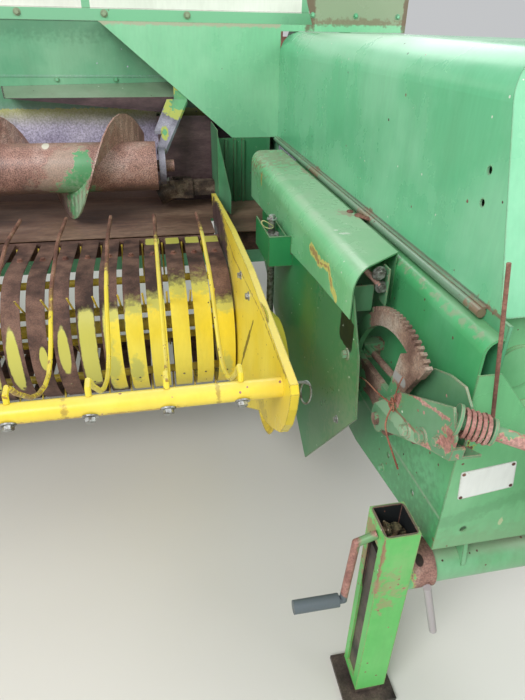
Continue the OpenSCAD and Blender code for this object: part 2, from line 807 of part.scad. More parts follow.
// Axle beam with spindles and posts up to the case and the platform
axle_z = tyre_d / 2;
beam_s = 90;
module axle() {
    b = beam_s / 2;
    color("mediumseagreen") place() {
        block(wheel_right_x + 20, wheel_left_x - 20, axle_y - b, axle_y + b, axle_z - b, axle_z + b);
        bar_x(wheel_left_x - 20, wheel_left_x + 160, axle_y, axle_z, 50);
        bar_x(wheel_right_x - 160, wheel_right_x + 20, axle_y, axle_z, 50);
        for (x = [-200, 140]) {
            block(x, x + 60, axle_y - b - 115, axle_y - b - 25, axle_z + b, floor_z - 7);
            block(x, x + 60, axle_y - b - 115, axle_y + b, axle_z + b, axle_z + b + 30);
        }
        block(wheel_right_x + 10, -case_x - 10, back_y + sheet, back_y + 80, 600, 660);
        block(wheel_right_x + 40, wheel_right_x + 120, back_y + 80, axle_y + b, 600, 660);
        block(wheel_right_x + 40, wheel_right_x + 120, axle_y - b, axle_y + b, axle_z + b, 600);
    }
}

module tyre(x) {
    h = tyre_w / 2;
    translate([x + h, axle_y, axle_z]) rotate([0, 90, 0]) rotate_extrude($fn = 96) difference() {
        union() {
            translate([rim_d / 2, -h + 25]) square([tyre_d / 2 - rim_d / 2 - 30, tyre_w - 50]);
            translate([rim_d / 2 + 25, -h]) square([tyre_d / 2 - rim_d / 2 - 75, tyre_w]);
            for (s = [-1, 1]) {
                translate([tyre_d / 2 - 50, s * (h - 50)]) circle(r = 50);
                translate([rim_d / 2 + 25, s * (h - 25)]) circle(r = 25);
            }
            translate([tyre_d / 2 - 40, -h + 50]) square([40, tyre_w - 100]);
        }
        for (k = [-1:1]) translate([tyre_d / 2 - 12, k * 42 - 6]) square([14, 12]);
    }
}

module rim(x, out) {
    h = tyre_w / 2;
    translate([x + h, axle_y, axle_z]) rotate([0, 90 * out, 0]) rotate_extrude($fn = 96) {
        difference() {
            translate([rim_d / 2 - 30, -h + 22]) square([30, tyre_w - 44]);
            translate([rim_d / 2 - 31, -h + 40]) square([25, tyre_w - 80]);
        }
        translate([25.05, 20]) square([rim_d / 2 - 30, 8]);
        translate([25.05, -40]) square([40, 90]);
    }
}

module tyre_left() {
    color([0.12, 0.12, 0.12]) place() tyre(wheel_left_x);
}

module rim_left() {
    color("gold") place() rim(wheel_left_x, 1);
}

module tyre_right() {
    color([0.12, 0.12, 0.12]) place() tyre(wheel_right_x - tyre_w);
}

module rim_right() {
    color("gold") place() rim(wheel_right_x - tyre_w, -1);
}

bar_rear = 1155;
hinge_y = 1200;
hinge_z = 640;
hinge_d = 24;
guard_y = 200;
guard_z = 748;
run = 0.1;
rim_path = [[400, 541], [331, 563], [261, 599], [193, 644], [159, 689], [138, 740], [130, 778], [140, 793], [242, 802],
    [400, 815], [564, 830], [864, 830], [1088, 819], [1350, 803]];
// End plate with its upper and front edge folded outwards
module pickup_plate(x, out) {
    difference() {
        union() {
            plate_x(x, sheet, concat(rim_path, [[1300, 700], [1232, 640], [1190, 560], [1190, 296], [900, 280], [700, 330]]));
            plate_x(out > 0 ? x : x + sheet - 16, 16, strip(rim_path, sheet));
        }
        bar_x(x - 1, x + sheet + 1, reel_y, reel_z, 40 + run);
        bar_x(x - 1, x + sheet + 1, hinge_y, hinge_z, hinge_d + run);
        bar_x(x - 1, x + sheet + 1, guard_y, guard_z, guard_d + run);
    }
}

module pickup_end_left() {
    color("gold") place() {
        pickup_plate(pickup_left, 1);
        translate([pickup_left + sheet - 1, 390, 670]) rotate([0, 90, 0]) difference() {
            cylinder(h = 39, r1 = 150, r2 = 112);
            translate([0, 0, -sheet]) cylinder(h = 39, r1 = 150, r2 = 112);
        }
    }
}

module pickup_end_right() {
    color("gold") place() pickup_plate(pickup_right - sheet, -1);
}

// One stripper band: flat on top, round in front, flat again below
module band(x) {
    translate([x - band_w / 2, 0, 0]) rotate([90, 0, 90]) linear_extrude(band_w) {
        difference() {
            translate([reel_y, reel_z]) circle(r = band_r, $fn = 64);
            translate([reel_y, reel_z]) circle(r = band_r - sheet, $fn = 64);
            translate([reel_y, reel_z - band_r - 1]) square([band_r + 2, 2 * band_r + 2]);
        }
        translate([reel_y, reel_z + band_r - sheet]) square([bar_rear + 5 - reel_y, sheet]);
        translate([reel_y, reel_z - band_r]) square([bar_rear + 5 - reel_y, sheet]);
    }
}

module strippers() {
    zt = reel_z + band_r - sheet;
    zb = reel_z - band_r + sheet;
    color("sienna") place() {
        for (i = [0:band_count - 1]) band(first_band - band_pitch * i);
        block(pickup_right, pickup_left, bar_rear, bar_rear + 25, zt - 16, zt);
        block(pickup_right, pickup_left, bar_rear, bar_rear + 25, zb, zb + 16);
    }
}

reel_bar_r = 150;
module tine_reel() {
    color("sienna") place() {
        bar_x(pickup_right - 30, pickup_left + 30, reel_y, reel_z, 40);
        for (x = [pickup_left - 40, (pickup_left + pickup_right) / 2 - 33, pickup_right + 30])
            bar_x(x, x + 6, reel_y, reel_z, 2 * reel_bar_r + 30);
        for (k = [0:tine_bars - 1]) {
            a = 45 + 360 * k / tine_bars;
            cy = reel_y + reel_bar_r * cos(a);
            cz = reel_z + reel_bar_r * sin(a);
            bar_x(pickup_right + 30, pickup_left - 34, cy, cz, 24);
            for (i = [0:band_count - 2])
                translate([first_band - band_pitch * (i + 0.5), cy, cz]) rotate([a - 90, 0, 0])
                    cylinder(h = tine_r - reel_bar_r, d = tine_d, $fn = 16);
        }
    }
}

// Path of a guard rod as [y, z] points: a stub on top of the tube, a hook in front and a long tail
rod_path = [[guard_y + 4, guard_z + guard_d / 2 + gap], [207, 782], [224, 786], [242, 770], [262, 747], [337, 683], [395, 650],
    [455, 629], [505, 625], [552, 637], [600, 668], [644, 703], [706, 743], [765, 765], [830, 779], [890, 797], [955, 803],
    [1118, 803]];

// Round rod swept along [y, z] points in a plane across x
module swept_rod(x, path, d) {
    n = len(path) - 1;
    function dir(i) = let (v = path[min(i + 1, n)] - path[max(i - 1, 0)]) v / norm(v);
    pts = [for (i = [0:n]) for (a = [0:45:315])
        [x + d / 2 * cos(a), path[i][0] - d / 2 * sin(a) * dir(i)[1], path[i][1] + d / 2 * sin(a) * dir(i)[0]]];
    polyhedron(points = pts, faces = tube_faces(n, 8));
}

module guard_tube() {
    color("gold") place() bar_x(pickup_right - 20, -504, guard_y, guard_z, guard_d);
}

module guard_rods() {
    color("goldenrod") place() for (k = [0:10]) swept_rod(-596 - rod_pitch * k, rod_path, rod_d);
}

gauge_x = pickup_right - 40;
module gauge_arm() {
    color("gold") place() {
        block(gauge_x + 22, pickup_right - sheet - gap, 960, 1000, 180, 360);
        bar_x(gauge_x - 60, gauge_x + 30, 980, 200, 24);
    }
}

module gauge_wheel() {
    color([0.12, 0.12, 0.12]) place() difference() {
        bar_x(gauge_x - 60, gauge_x + 16, 980, 200, 300);
        bar_x(gauge_x - 61, gauge_x + 17, 980, 200, 24.1);
    }
}

knot_y = needle_pivot_y - needle_r + 40;
module knotter_stack() {
    z0 = roof_z + wall;
    color("seagreen") place() {
        for (s = [-1, 1]) {
            plate_x(s * 190 - 5, 10, [[knot_y - 80, z0], [knot_y + 220, z0], [knot_y + 160, z0 + 200], [knot_y, z0 + 200]]);
            bar_x(s * needle_x + 30, s * needle_x + 50, knot_y + 120, z0 + 130, 220);
            block(s * needle_x + 24, s * needle_x + 30, knot_y - 20, knot_y + 120, z0, z0 + 150);
        }
        bar_x(-195, 195, knot_y + 120, z0 + 130, 32);
    }
}

module yoke_arm() {
    x = case_x + 5;
    difference() {
        union() {
            plate_x(x, 10, [[needle_pivot_y - 30, needle_pivot_z - 30], [needle_pivot_y + 30, needle_pivot_z - 30],
                [needle_pivot_y + 22, needle_pivot_z - needle_r - 22],
                [needle_pivot_y - 22, needle_pivot_z - needle_r - 22]]);
            bar_x(case_x + gap, x + 10, needle_pivot_y, needle_pivot_z, 70);
        }
        bar_x(case_x - 1, x + 11, needle_pivot_y, needle_pivot_z, yoke_d + run);
    }
}

module needle(x) {
    translate([x - 5, needle_pivot_y, needle_pivot_z]) rotate([90, 0, 90]) intersection() {
        linear_extrude(10) difference() {
            circle(r = needle_r + 9, $fn = 96);
            circle(r = needle_r - 9, $fn = 96);
        }
        linear_extrude(10) polygon([[0, 0], [0, -600], [-600, -600], [-600 * cos(25), -600 * sin(25)]]);
    }
}

module needle_yoke() {
    color("seagreen") place() {
        yoke_arm();
        mirror([1, 0, 0]) yoke_arm();
        for (s = [-1, 1]) needle(s * needle_x);
        bar_x(-case_x - 15, case_x + 15, needle_pivot_y, needle_pivot_z - needle_r, 44);
    }
}

star_y = rail_y + 310;
star_z = roof_z + 95;
star_d = 20;
module star_wheel() {
    color("gold") place() {
        translate([-5, star_y, star_z]) rotate([90, 0, 90]) linear_extrude(10) {
            circle(r = 80);
            for (a = [0:30:330]) rotate(a) translate([70, -7]) square([60, 14]);
        }
        bar_x(-60, 60, star_y, star_z, star_d);
    }
}

screw_x = 180;
screw_y = 3380;
screw_len = 280;
module top_rails() {
    color("seagreen") place() {
        for (s = [-1, 1]) {
            block(s * 130 - 40, s * 130 + 40, rail_y - 20, case_len - 10, roof_z, roof_z + 12);
            difference() {
                union() {
                    block(s * 55 - 5, s * 55 + 5, star_y - 30, star_y + 30, roof_z + 12, star_z + 30);
                    block(min(s * 55 - 5, s * 92), max(s * 55 + 5, s * 92), star_y - 30, star_y + 30,
                        roof_z, roof_z + 12);
                }
                bar_x(s * 55 - 10, s * 55 + 10, star_y, star_z, star_d + run);
            }
        }
        block(-chamber_x + 6, chamber_x - 6, rail_y - 20, rail_y + 20, roof_z + 12, roof_z + 52);
        block(-chamber_x + 6, chamber_x - 6, screw_y - 30, screw_y + 30, roof_z + 12, roof_z + 52);
        bar_x(-case_x - 6, case_x + 6, rail_y, rail_z, 24);
    }
}

module tension_screws() {
    color("sienna") place() {
        for (s = [-1, 1]) {
            translate([s * screw_x, screw_y, roof_z + 52 + gap]) cylinder(h = screw_len, d = 24);
            block(s * screw_x - 50, s * screw_x + 50, screw_y - 12, screw_y + 12, roof_z + 250, roof_z + 262);
            block(min(s * (case_x + gap), s * (case_x + 12)), max(s * (case_x + gap), s * (case_x + 12)),
                screw_y - 30, screw_y + 30, roof_z - 100, roof_z + 200);
        }
        block(-case_x - 12, case_x + 12, screw_y - 30, screw_y + 30, roof_z + 140, roof_z + 200);
    }
}

module chute() {
    y0 = case_len + 8;
    color("seagreen") place() {
        block(-chamber_x + 5, chamber_x - 5, y0, rear_out, floor_z - 3, floor_z);
        for (s = [-1, 1]) {
            plate_x(s * (chamber_x - 6.5) - 1.5, 3, [[y0, floor_z - 3], [y0, floor_z], [chute_y + 30, floor_z + 2],
                [chute_y + 55, floor_z + 120], [rear_out, floor_z + 120], [rear_out, floor_z - 3]]);
            block(s * 180 - 6, s * 180 + 6, chute_y - 10, chute_y + 60, chute_z, floor_z - 3);
        }
        bar_x(-case_x - 6, case_x + 6, chute_y, chute_z, 20);
    }
}

case_side_left();
case_side_right();
case_floor();
case_roof();
skirt_left();
skirt_right();
front_sheet();
hood();
hood_end_panel();
drive_block();
feeder_floor();
feeder_back();
feeder_end();
feeder_housing();
auger_arm();
auger();
auger_drive();
deflector();
twine_box();
lid_lugs();
twine_lid();
drive_shield();
shield_plate();
float_rod();
lift_quadrant();
lift_lever();
lever_spring();
front_frame();
jack_tube();
jack_leg();
crank();
collar();
tongue();
pto_stand();
pto_shaft();
flywheel();
axle();
tyre_left();
rim_left();
tyre_right();
rim_right();
pickup_end_left();
pickup_end_right();
strippers();
tine_reel();
guard_tube();
guard_rods();
gauge_wheel();
gauge_arm();
knotter_stack();
needle_yoke();
star_wheel();
top_rails();
tension_screws();
chute();
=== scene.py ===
"""Dresses the square baler: worn enamel, rust, fasteners, trim, studio and camera.

Sizes are in millimetres from the baler's own datum (x 0 on the bale case's centre line, y 0 on
its front sheet, z 0 on the ground), as in the part's source. at() turns them to the frame's metres.
"""

import json
import logging
import math
from dataclasses import dataclass, replace
from enum import Enum
from functools import cache
from typing import Any, ClassVar

import bmesh
import bpy
from mathutils import Matrix, Vector

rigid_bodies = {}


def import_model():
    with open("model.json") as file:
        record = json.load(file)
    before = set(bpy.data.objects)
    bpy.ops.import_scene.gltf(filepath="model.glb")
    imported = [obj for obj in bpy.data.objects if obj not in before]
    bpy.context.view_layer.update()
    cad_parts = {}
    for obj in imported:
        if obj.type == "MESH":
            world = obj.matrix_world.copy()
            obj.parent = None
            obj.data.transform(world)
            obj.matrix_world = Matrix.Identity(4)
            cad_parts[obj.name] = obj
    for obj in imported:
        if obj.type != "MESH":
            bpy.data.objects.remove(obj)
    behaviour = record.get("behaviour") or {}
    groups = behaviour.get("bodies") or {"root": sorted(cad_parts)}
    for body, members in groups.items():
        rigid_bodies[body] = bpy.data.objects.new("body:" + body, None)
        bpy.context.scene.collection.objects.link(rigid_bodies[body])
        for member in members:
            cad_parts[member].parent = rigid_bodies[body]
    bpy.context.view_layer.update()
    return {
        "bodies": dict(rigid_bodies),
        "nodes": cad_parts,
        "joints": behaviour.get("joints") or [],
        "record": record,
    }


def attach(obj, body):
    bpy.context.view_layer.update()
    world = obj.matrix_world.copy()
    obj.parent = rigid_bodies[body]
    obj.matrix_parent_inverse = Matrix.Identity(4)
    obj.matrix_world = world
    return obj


LOG = logging.getLogger("baler")
MM = 1000.0  # millimetres in a metre
DATUM_X, DATUM_Y = 795.0, -1282.5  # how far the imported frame's origin lies from the datum
SHARP = math.radians(35)  # edges that turn by more than this stay crisp

Point = tuple[float, float, float]
Tree = bpy.types.NodeTree
Socket = bpy.types.NodeSocket
Mesh = bmesh.types.BMesh


class Axis(Enum):
    """The way that a fastener or a disc faces."""

    FRONT = (0.0, -1.0, 0.0)
    REAR = (0.0, 1.0, 0.0)
    RIGHT = (-1.0, 0.0, 0.0)
    LEFT = (1.0, 0.0, 0.0)
    UP = (0.0, 0.0, 1.0)
    DOWN = (0.0, 0.0, -1.0)

    @property
    def vector(self) -> Vector:
        """The way as a vector."""
        return Vector(self.value)


def at(x: float, y: float, z: float) -> Vector:
    """Turns a place in millimetres from the datum into the frame's metres."""
    return Vector((x + DATUM_X, y + DATUM_Y, z)) / MM


def colour(code: str) -> tuple[float, float, float, float]:
    """Turns an sRGB hex colour into linear red, green, blue and alpha.

    Args:
        code: The colour as #RRGGBB.

    Returns:
        The linear colour with an alpha of 1.
    """
    parts = [int(code[i:i + 2], 16) / 255.0 for i in (1, 3, 5)]
    linear = [c / 12.92 if c <= 0.04045 else ((c + 0.055) / 1.055) ** 2.4 for c in parts]
    return (linear[0], linear[1], linear[2], 1.0)


def feed(tree: Tree, node: bpy.types.Node, sockets: dict[Any, Any]) -> None:
    """Sets a node's inputs, or links those whose value is another node's output.

    Args:
        tree: The material's node tree.
        node: The node.
        sockets: Input name or number to a value or an output.
    """
    for key, value in sockets.items():
        if isinstance(value, Socket):
            tree.links.new(value, node.inputs[key])
        else:
            node.inputs[key].default_value = value


def put(tree: Tree, kind: str, sockets: dict[Any, Any] | tuple[Any, ...] = (), out: int | str = 0,
        **settings: Any) -> Socket:
    """Adds a shader node with its settings, values and links.

    Args:
        tree: The material's node tree.
        kind: The node's type without the ShaderNode prefix.
        sockets: Values or outputs, in the order of the inputs, or by an input's name or number.
        out: The output that is wanted.
        **settings: Properties of the node itself.

    Returns:
        That output.
    """
    node = tree.nodes.new("ShaderNode" + kind)
    for name, value in settings.items():
        setattr(node, name, value)
    feed(tree, node, sockets if isinstance(sockets, dict) else dict(enumerate(sockets)))
    return node.outputs[out]


# ---------------------------------------------------------------- finishes


@dataclass(frozen=True)
class Patch:
    """A rounded region of a surface, in datum millimetres.

    Attributes:
        centre: The middle of the region.
        reach: How far it goes along x, y and z.
        square: Whether it is a rounded box and not an ellipsoid.
    """

    centre: Point
    reach: Point
    square: bool = False

    def distance(self, tree: Tree, place: Socket) -> Socket:
        """Adds the nodes that tell how far a point is from the region's middle.

        Args:
            tree: The material's node tree.
            place: The point.

        Returns:
            0 at the middle and 1 at the border.
        """
        away = put(tree, "VectorMath", (place, at(*self.centre)), operation="SUBTRACT")
        unit = put(tree, "VectorMath", (away, Vector(self.reach) / MM), operation="DIVIDE")
        if not self.square:
            return put(tree, "VectorMath", (unit,), "Value", operation="LENGTH")
        for _ in range(3):
            unit = put(tree, "VectorMath", (unit, unit), operation="MULTIPLY")
        total = put(tree, "VectorMath", (unit, (1.0, 1.0, 1.0)), "Value", operation="DOT_PRODUCT")
        return put(tree, "Math", (total, 0.125), operation="POWER")


@dataclass(frozen=True)
class Streak:
    """A narrow region along a line between two places, in datum millimetres.

    Attributes:
        start, end: Where the line runs.
        width: How far the region goes to each side of it.
    """

    start: Point
    end: Point
    width: float

    def distance(self, tree: Tree, place: Socket) -> Socket:
        """Adds the nodes that tell how far a point is from the line.

        Args:
            tree: The material's node tree.
            place: The point.

        Returns:
            0 on the line and 1 at the border.
        """
        first, last = at(*self.start), at(*self.end)
        way = last - first
        away = put(tree, "VectorMath", (place, first), operation="SUBTRACT")
        share = put(tree, "VectorMath", (away, way / way.length_squared), "Value",
                    operation="DOT_PRODUCT")
        share = put(tree, "Clamp", (share,))
        foot = put(tree, "VectorMath", {0: way, "Scale": share}, operation="SCALE")
        off = put(tree, "VectorMath", (away, foot), "Value", operation="DISTANCE")
        return put(tree, "Math", (off, MM / self.width), operation="MULTIPLY")


Region = Patch | Streak


def chain(width: float, *places: Point) -> tuple[Region, ...]:
    """Gives the streaks that follow a line of places."""
    return tuple(Streak(a, b, width) for a, b in zip(places, places[1:]))


def inside(tree: Tree, place: Socket, noise: Socket, where: tuple[Region, ...], ragged: float,
           soft: float = 0.08) -> tuple[Socket, Socket]:
    """Adds the nodes that tell whether a point is in any of some regions.

    Args:
        tree: The material's node tree.
        place: The point.
        noise: What bends the border.
        where: The regions.
        ragged: How far it bends, as a share of a region's reach.
        soft: How wide the border is.

    Returns:
        1 inside and 0 outside, and the bent distance, which is 1 at the border.
    """
    near = where[0].distance(tree, place)
    for region in where[1:]:
        near = put(tree, "Math", (near, region.distance(tree, place)), operation="MINIMUM")
    swing = put(tree, "Math", (noise, 6.0 * ragged, -3.0 * ragged), operation="MULTIPLY_ADD")
    bent = put(tree, "Math", (near, swing), operation="ADD")
    mask = put(tree, "MapRange", (bent, 1.0 - soft, 1.0 + soft, 1.0, 0.0),
               interpolation_type="SMOOTHSTEP")
    return mask, bent


@dataclass(frozen=True)
class Mark:
    """A second colour that lies on a coat: a stain, a smear, a drip, another paint, or painted
    shade, light or reflection.

    Attributes:
        tone: Its colour.
        where: The regions that it covers.
        share: How much it hides, 0 to 1.
        ragged: How uneven its border is.
        soft: How gently it fades out.
    """

    tone: str
    where: tuple[Region, ...]
    share: float = 1.0
    ragged: float = 0.25
    soft: float = 0.1

    def over(self, tree: Tree, place: Socket, noise: Socket, tone: Socket) -> Socket:
        """Adds the nodes that lay the mark over a colour.

        Args:
            tree: The material's node tree.
            place: The point.
            noise: What bends the mark's border.
            tone: The colour below.

        Returns:
            The colour with the mark.
        """
        mask = inside(tree, place, noise, self.where, self.ragged, self.soft)[0]
        part = put(tree, "Math", (mask, self.share), operation="MULTIPLY")
        return put(tree, "Mix", {0: part, 6: tone, 7: colour(self.tone)}, 2, data_type="RGBA")


@dataclass(frozen=True)
class Finish:
    """What every finish shares.

    Attributes:
        name: The material's name.
    """

    name: str

    def surface(self, tree: Tree, place: Socket) -> dict[str, Any]:
        """Adds the finish's nodes.

        Args:
            tree: The material's node tree.
            place: The point; its node gives the normal too.

        Returns:
            The shader's input names with what goes into them, constants as plain numbers.
        """
        raise NotImplementedError

    def material(self) -> bpy.types.Material:
        """Builds the material.

        Returns:
            The material, its constants on the shader's own sockets.
        """
        made = bpy.data.materials.new(self.name)
        made.use_nodes = True
        tree = made.node_tree
        place = put(tree, "TexCoord", out="Object")
        feed(tree, tree.nodes["Principled BSDF"], self.surface(tree, place))
        return made


@dataclass(frozen=True)
class RustedSteel(Finish):
    """Mild steel that has rusted in the weather: dry, grainy, blotched, almost no shine.

    Attributes:
        dark, mid, light: Deep pits, the main scale and the fresh powdery rust.
        grain_mm: The width of a rust grain, drawn a little coarser than real so that it shows.
        grain: How far the grain lightens and darkens the colour.
        blotch_mm: The width of a stain.
        rough: The mean roughness.
        metal: How much bare metal still shows through.
        relief: The strength of the pitting.
        drawn: A stretch on x, y and z, for steel that the crop has scoured one way.
        marks: Stains, paint and painted shade that lie on it.
        slot: The record's material slot for a piece with this finish, as in every finish; not used.
    """

    dark: str = "#3B2621"
    mid: str = "#6B4A42"
    light: str = "#8F6652"
    grain_mm: float = 4.0
    grain: float = 0.25
    blotch_mm: float = 90.0
    rough: float = 0.78
    metal: float = 0.1
    relief: float = 0.3
    drawn: Point = (1.0, 1.0, 1.0)
    marks: tuple[Mark, ...] = ()
    slot: str = "rusty_steel"

    def layer(self, tree: Tree, place: Socket) -> tuple[Socket, Socket, Socket]:
        """Adds the rust's nodes.

        Args:
            tree: The material's node tree.
            place: The point.

        Returns:
            The rust's colour, roughness and height.
        """
        lie = put(tree, "Mapping", {0: place, "Scale": Vector(self.drawn)})
        blotch, grain = (put(tree, "TexNoise", {"Vector": lie, "Scale": MM / width, "Detail": detail,
                                                "Roughness": rough})
                         for width, detail, rough in ((self.blotch_mm, 5.0, 0.62),
                                                      (self.grain_mm, 2.0, 0.7)))
        stain = put(tree, "ValToRGB", (blotch,))
        ramp = stain.node.color_ramp.elements
        ramp[0].position, ramp[1].position = 0.38, 0.64
        ramp[0].color, ramp[1].color = colour(self.dark), colour(self.light)
        ramp.new(0.5).color = colour(self.mid)
        speck = put(tree, "MapRange", (grain, 0.38, 0.62, 1.0 - self.grain, 1.0 + self.grain))
        tone = put(tree, "VectorMath", {0: stain, "Scale": speck}, operation="SCALE")
        for mark in self.marks:
            tone = mark.over(tree, place, blotch, tone)
        rough = put(tree, "MapRange", (grain, 0.3, 0.7, self.rough - 0.12, self.rough + 0.12))
        return tone, rough, grain

    def surface(self, tree: Tree, place: Socket) -> dict[str, Any]:
        """Adds the finish's nodes.

        Args:
            tree: The material's node tree.
            place: The point.

        Returns:
            What goes into the shader's inputs.
        """
        tone, rough, height = self.layer(tree, place)
        bump = put(tree, "Bump", {"Strength": self.relief, "Distance": 0.001, "Height": height})
        return {"Base Color": tone, "Roughness": rough, "Normal": bump, "Metallic": self.metal}


CLOUD, FLECK, CELL = 3.4, 70.0, 66.0  # repeats in a metre: 294, 14 and 15 mm wide
RUN, STAIN = 120.0, 11.0  # the same for fine lines and broad stains: 8 and 91 mm wide


@dataclass(frozen=True)
class WornEnamel(Finish):
    """Sprayed enamel on sheet steel after years outdoors.

    The eye sees a satin coat that has chalked and faded in clouds, fine runs that water has left,
    dust lying on what faces up, pinhead chips, and rust along edges and where the coat is gone.

    Attributes:
        paint, faded: The coat where it is sound and where the sun has chalked it.
        under: What shows where the coat is gone.
        primer: The undercoat that shows as a rim round a worn place.
        rim: How wide that rim is, as a share of a region's reach.
        dirt, dust: The colour of the runs and of the lying dust.
        dirt_share, dust_share: How much of each there is, 0 to 1.
        chips, specks: The share of cells with a dark chip or a pale speck in them.
        speck: The colour of a pale speck.
        edge: How far the coat has worn back from the edges, 0 to 1.
        rough: The mean roughness of the coat.
        bare: Regions where the coat has worn through.
        only: Regions where any coat is left, for steel that has lost nearly all of it.
        ragged: How uneven the border of a worn place is.
        upward: The lowest upward slope that still keeps its coat, or None.
        marks: Stains, smears, second paints, and painted shade, highlights and reflections on the
            coat.
        flow: The direction of the runs as a stretch on x, y and z.
        slot: The record's material slot; not used.
    """

    paint: str
    faded: str
    under: RustedSteel = RustedSteel("under_rust")
    primer: str = "#BFC05C"
    rim: float = 0.12
    dirt: str = "#4A4A38"
    dust: str = "#A59F8A"
    dirt_share: float = 0.3
    dust_share: float = 0.35
    chips: float = 0.05
    specks: float = 0.03
    speck: str = "#D9E4D2"
    edge: float = 0.6
    rough: float = 0.34
    bare: tuple[Region, ...] = ()
    only: tuple[Region, ...] = ()
    ragged: float = 0.3
    upward: float | None = None
    marks: tuple[Mark, ...] = ()
    flow: Point = (1.0, 1.0, 0.16)
    slot: str = "case_green"

    def coat(self, tree: Tree, place: Socket, cloud: Socket, fleck: Socket) -> Socket:
        """Adds the coat's nodes: chalked clouds, runs, marks and lying dust.

        Args:
            tree: The material's node tree.
            place: The point.
            cloud, fleck: The broad and the fine noise.

        Returns:
            The coat's colour.
        """
        fade = put(tree, "MapRange", (cloud, 0.40, 0.62))
        tone = put(tree, "Mix", {0: fade, 6: colour(self.paint), 7: colour(self.faded)}, 2,
                   data_type="RGBA")
        # Runs: noise drawn out along the way that water takes, in fine lines and broad stains.
        lie = put(tree, "Mapping", {0: place, "Scale": Vector(self.flow)})
        fine = put(tree, "TexNoise", {"Vector": lie, "Scale": RUN, "Detail": 3.0})
        line = put(tree, "MapRange", (fine, 0.34, 0.66, 0.975, 1.025))
        tone = put(tree, "VectorMath", {0: tone, "Scale": line}, operation="SCALE")
        broad = put(tree, "TexNoise", {"Vector": lie, "Scale": STAIN, "Detail": 6.0,
                                       "Roughness": 0.6})
        soil = put(tree, "MapRange", (broad, 0.5, 0.8, 0.0, self.dirt_share))
        tone = put(tree, "Mix", {0: soil, 6: tone, 7: colour(self.dirt)}, 2, data_type="RGBA")
        for mark in self.marks:
            tone = mark.over(tree, place, fleck, tone)
        up = put(tree, "SeparateXYZ", (place.node.outputs["Normal"],), 2)
        level = put(tree, "MapRange", (up, 0.6, 0.99, 0.0, self.dust_share),
                    interpolation_type="SMOOTHSTEP")
        lying = put(tree, "MapRange", (cloud, 0.3, 0.6, 0.45, 1.0))
        heap = put(tree, "Math", (level, lying), operation="MULTIPLY")
        return put(tree, "Mix", {0: heap, 6: tone, 7: colour(self.dust)}, 2, data_type="RGBA")

    def loss(self, tree: Tree, place: Socket, cloud: Socket, fleck: Socket, spot: Socket
             ) -> tuple[Socket, Socket | None]:
        """Adds the nodes of chips, rubbed edges and worn places.

        Args:
            tree: The material's node tree.
            place: The point.
            cloud, fleck: The broad and the fine noise.
            spot: The distance to the middle of a cell; its node gives the cell's colour too.

        Returns:
            1 where the coat is gone, and 1 where only primer is left, if there is any.
        """
        hue = put(tree, "SeparateColor", (spot.node.outputs["Color"],))
        picked = put(tree, "Math", (hue, 1.0 - self.chips), operation="GREATER_THAN")
        size = put(tree, "Math", (fleck, 0.5, spot), operation="MULTIPLY_ADD")
        small = put(tree, "Math", (size, 0.4), operation="LESS_THAN")
        gone = put(tree, "Math", (picked, small), operation="MULTIPLY")
        if self.edge > 0.0:
            # Where a rounded normal leaves the face's own, the coat has rubbed through.
            round_edge = put(tree, "Bevel", {"Radius": 0.004}, samples=2)
            flat = put(tree, "NewGeometry", out="Normal")
            turn = put(tree, "VectorMath", (round_edge, flat), "Value", operation="DOT_PRODUCT")
            rub = put(tree, "Math", (cloud, 0.6, fleck), operation="MULTIPLY_ADD")
            need = put(tree, "MapRange", (rub, 0.62, 1.0, 0.62, 0.998))
            worn = put(tree, "Math", (need, turn), operation="GREATER_THAN")
            gone = put(tree, "Math", (worn, self.edge, gone), operation="MULTIPLY_ADD",
                       use_clamp=True)
        primer = None
        if self.bare:
            mask, bent = inside(tree, place, fleck, self.bare, self.ragged)
            gone = put(tree, "Math", (gone, mask), operation="MAXIMUM")
            primer = put(tree, "Math", (bent, 1.0 + self.rim), operation="LESS_THAN")
        if self.only:
            mask, bent = inside(tree, place, fleck, self.only, self.ragged)
            left = put(tree, "Math", (1.0, mask), operation="SUBTRACT")
            gone = put(tree, "Math", (gone, left), operation="MAXIMUM")
            primer = put(tree, "Math", (bent, 1.0 - self.rim), operation="GREATER_THAN")
        if self.upward is not None:
            up = put(tree, "SeparateXYZ", (place.node.outputs["Normal"],), 2)
            steep = put(tree, "Math", (up, self.upward), operation="LESS_THAN")
            gone = put(tree, "Math", (gone, steep), operation="MAXIMUM")
        return gone, primer

    def surface(self, tree: Tree, place: Socket) -> dict[str, Any]:
        """Adds the finish's nodes.

        Args:
            tree: The material's node tree.
            place: The point; its node gives the normal too.

        Returns:
            What goes into the shader's inputs.
        """
        cloud, fleck = (put(tree, "TexNoise", {"Vector": place, "Scale": scale, "Detail": detail,
                                               "Roughness": 0.6})
                        for scale, detail in ((CLOUD, 6.0), (FLECK, 4.0)))
        spot = put(tree, "TexVoronoi", {"Vector": place, "Scale": CELL}, "Distance")
        tone = self.coat(tree, place, cloud, fleck)
        gone, primer = self.loss(tree, place, cloud, fleck, spot)
        if primer is not None:
            tone = put(tree, "Mix", {0: primer, 6: tone, 7: colour(self.primer)}, 2,
                       data_type="RGBA")
        hue = put(tree, "SeparateColor", (spot.node.outputs["Color"],), 1)
        pale = put(tree, "Math", (hue, 1.0 - self.specks), operation="GREATER_THAN")
        tiny = put(tree, "Math", (spot, 0.14), operation="LESS_THAN")
        dot = put(tree, "Math", (pale, tiny), operation="MULTIPLY")
        tone = put(tree, "Mix", {0: dot, 6: tone, 7: colour(self.speck)}, 2, data_type="RGBA")
        rust, rust_rough, rust_height = self.under.layer(tree, place)
        tone = put(tree, "Mix", {0: gone, 6: tone, 7: rust}, 2, data_type="RGBA")
        coat_rough = put(tree, "MapRange", (cloud, 0.3, 0.7, self.rough - 0.08, self.rough + 0.14))
        rough = put(tree, "Mix", {0: gone, 2: coat_rough, 3: rust_rough})
        pit = put(tree, "Math", (gone, rust_height), operation="MULTIPLY")
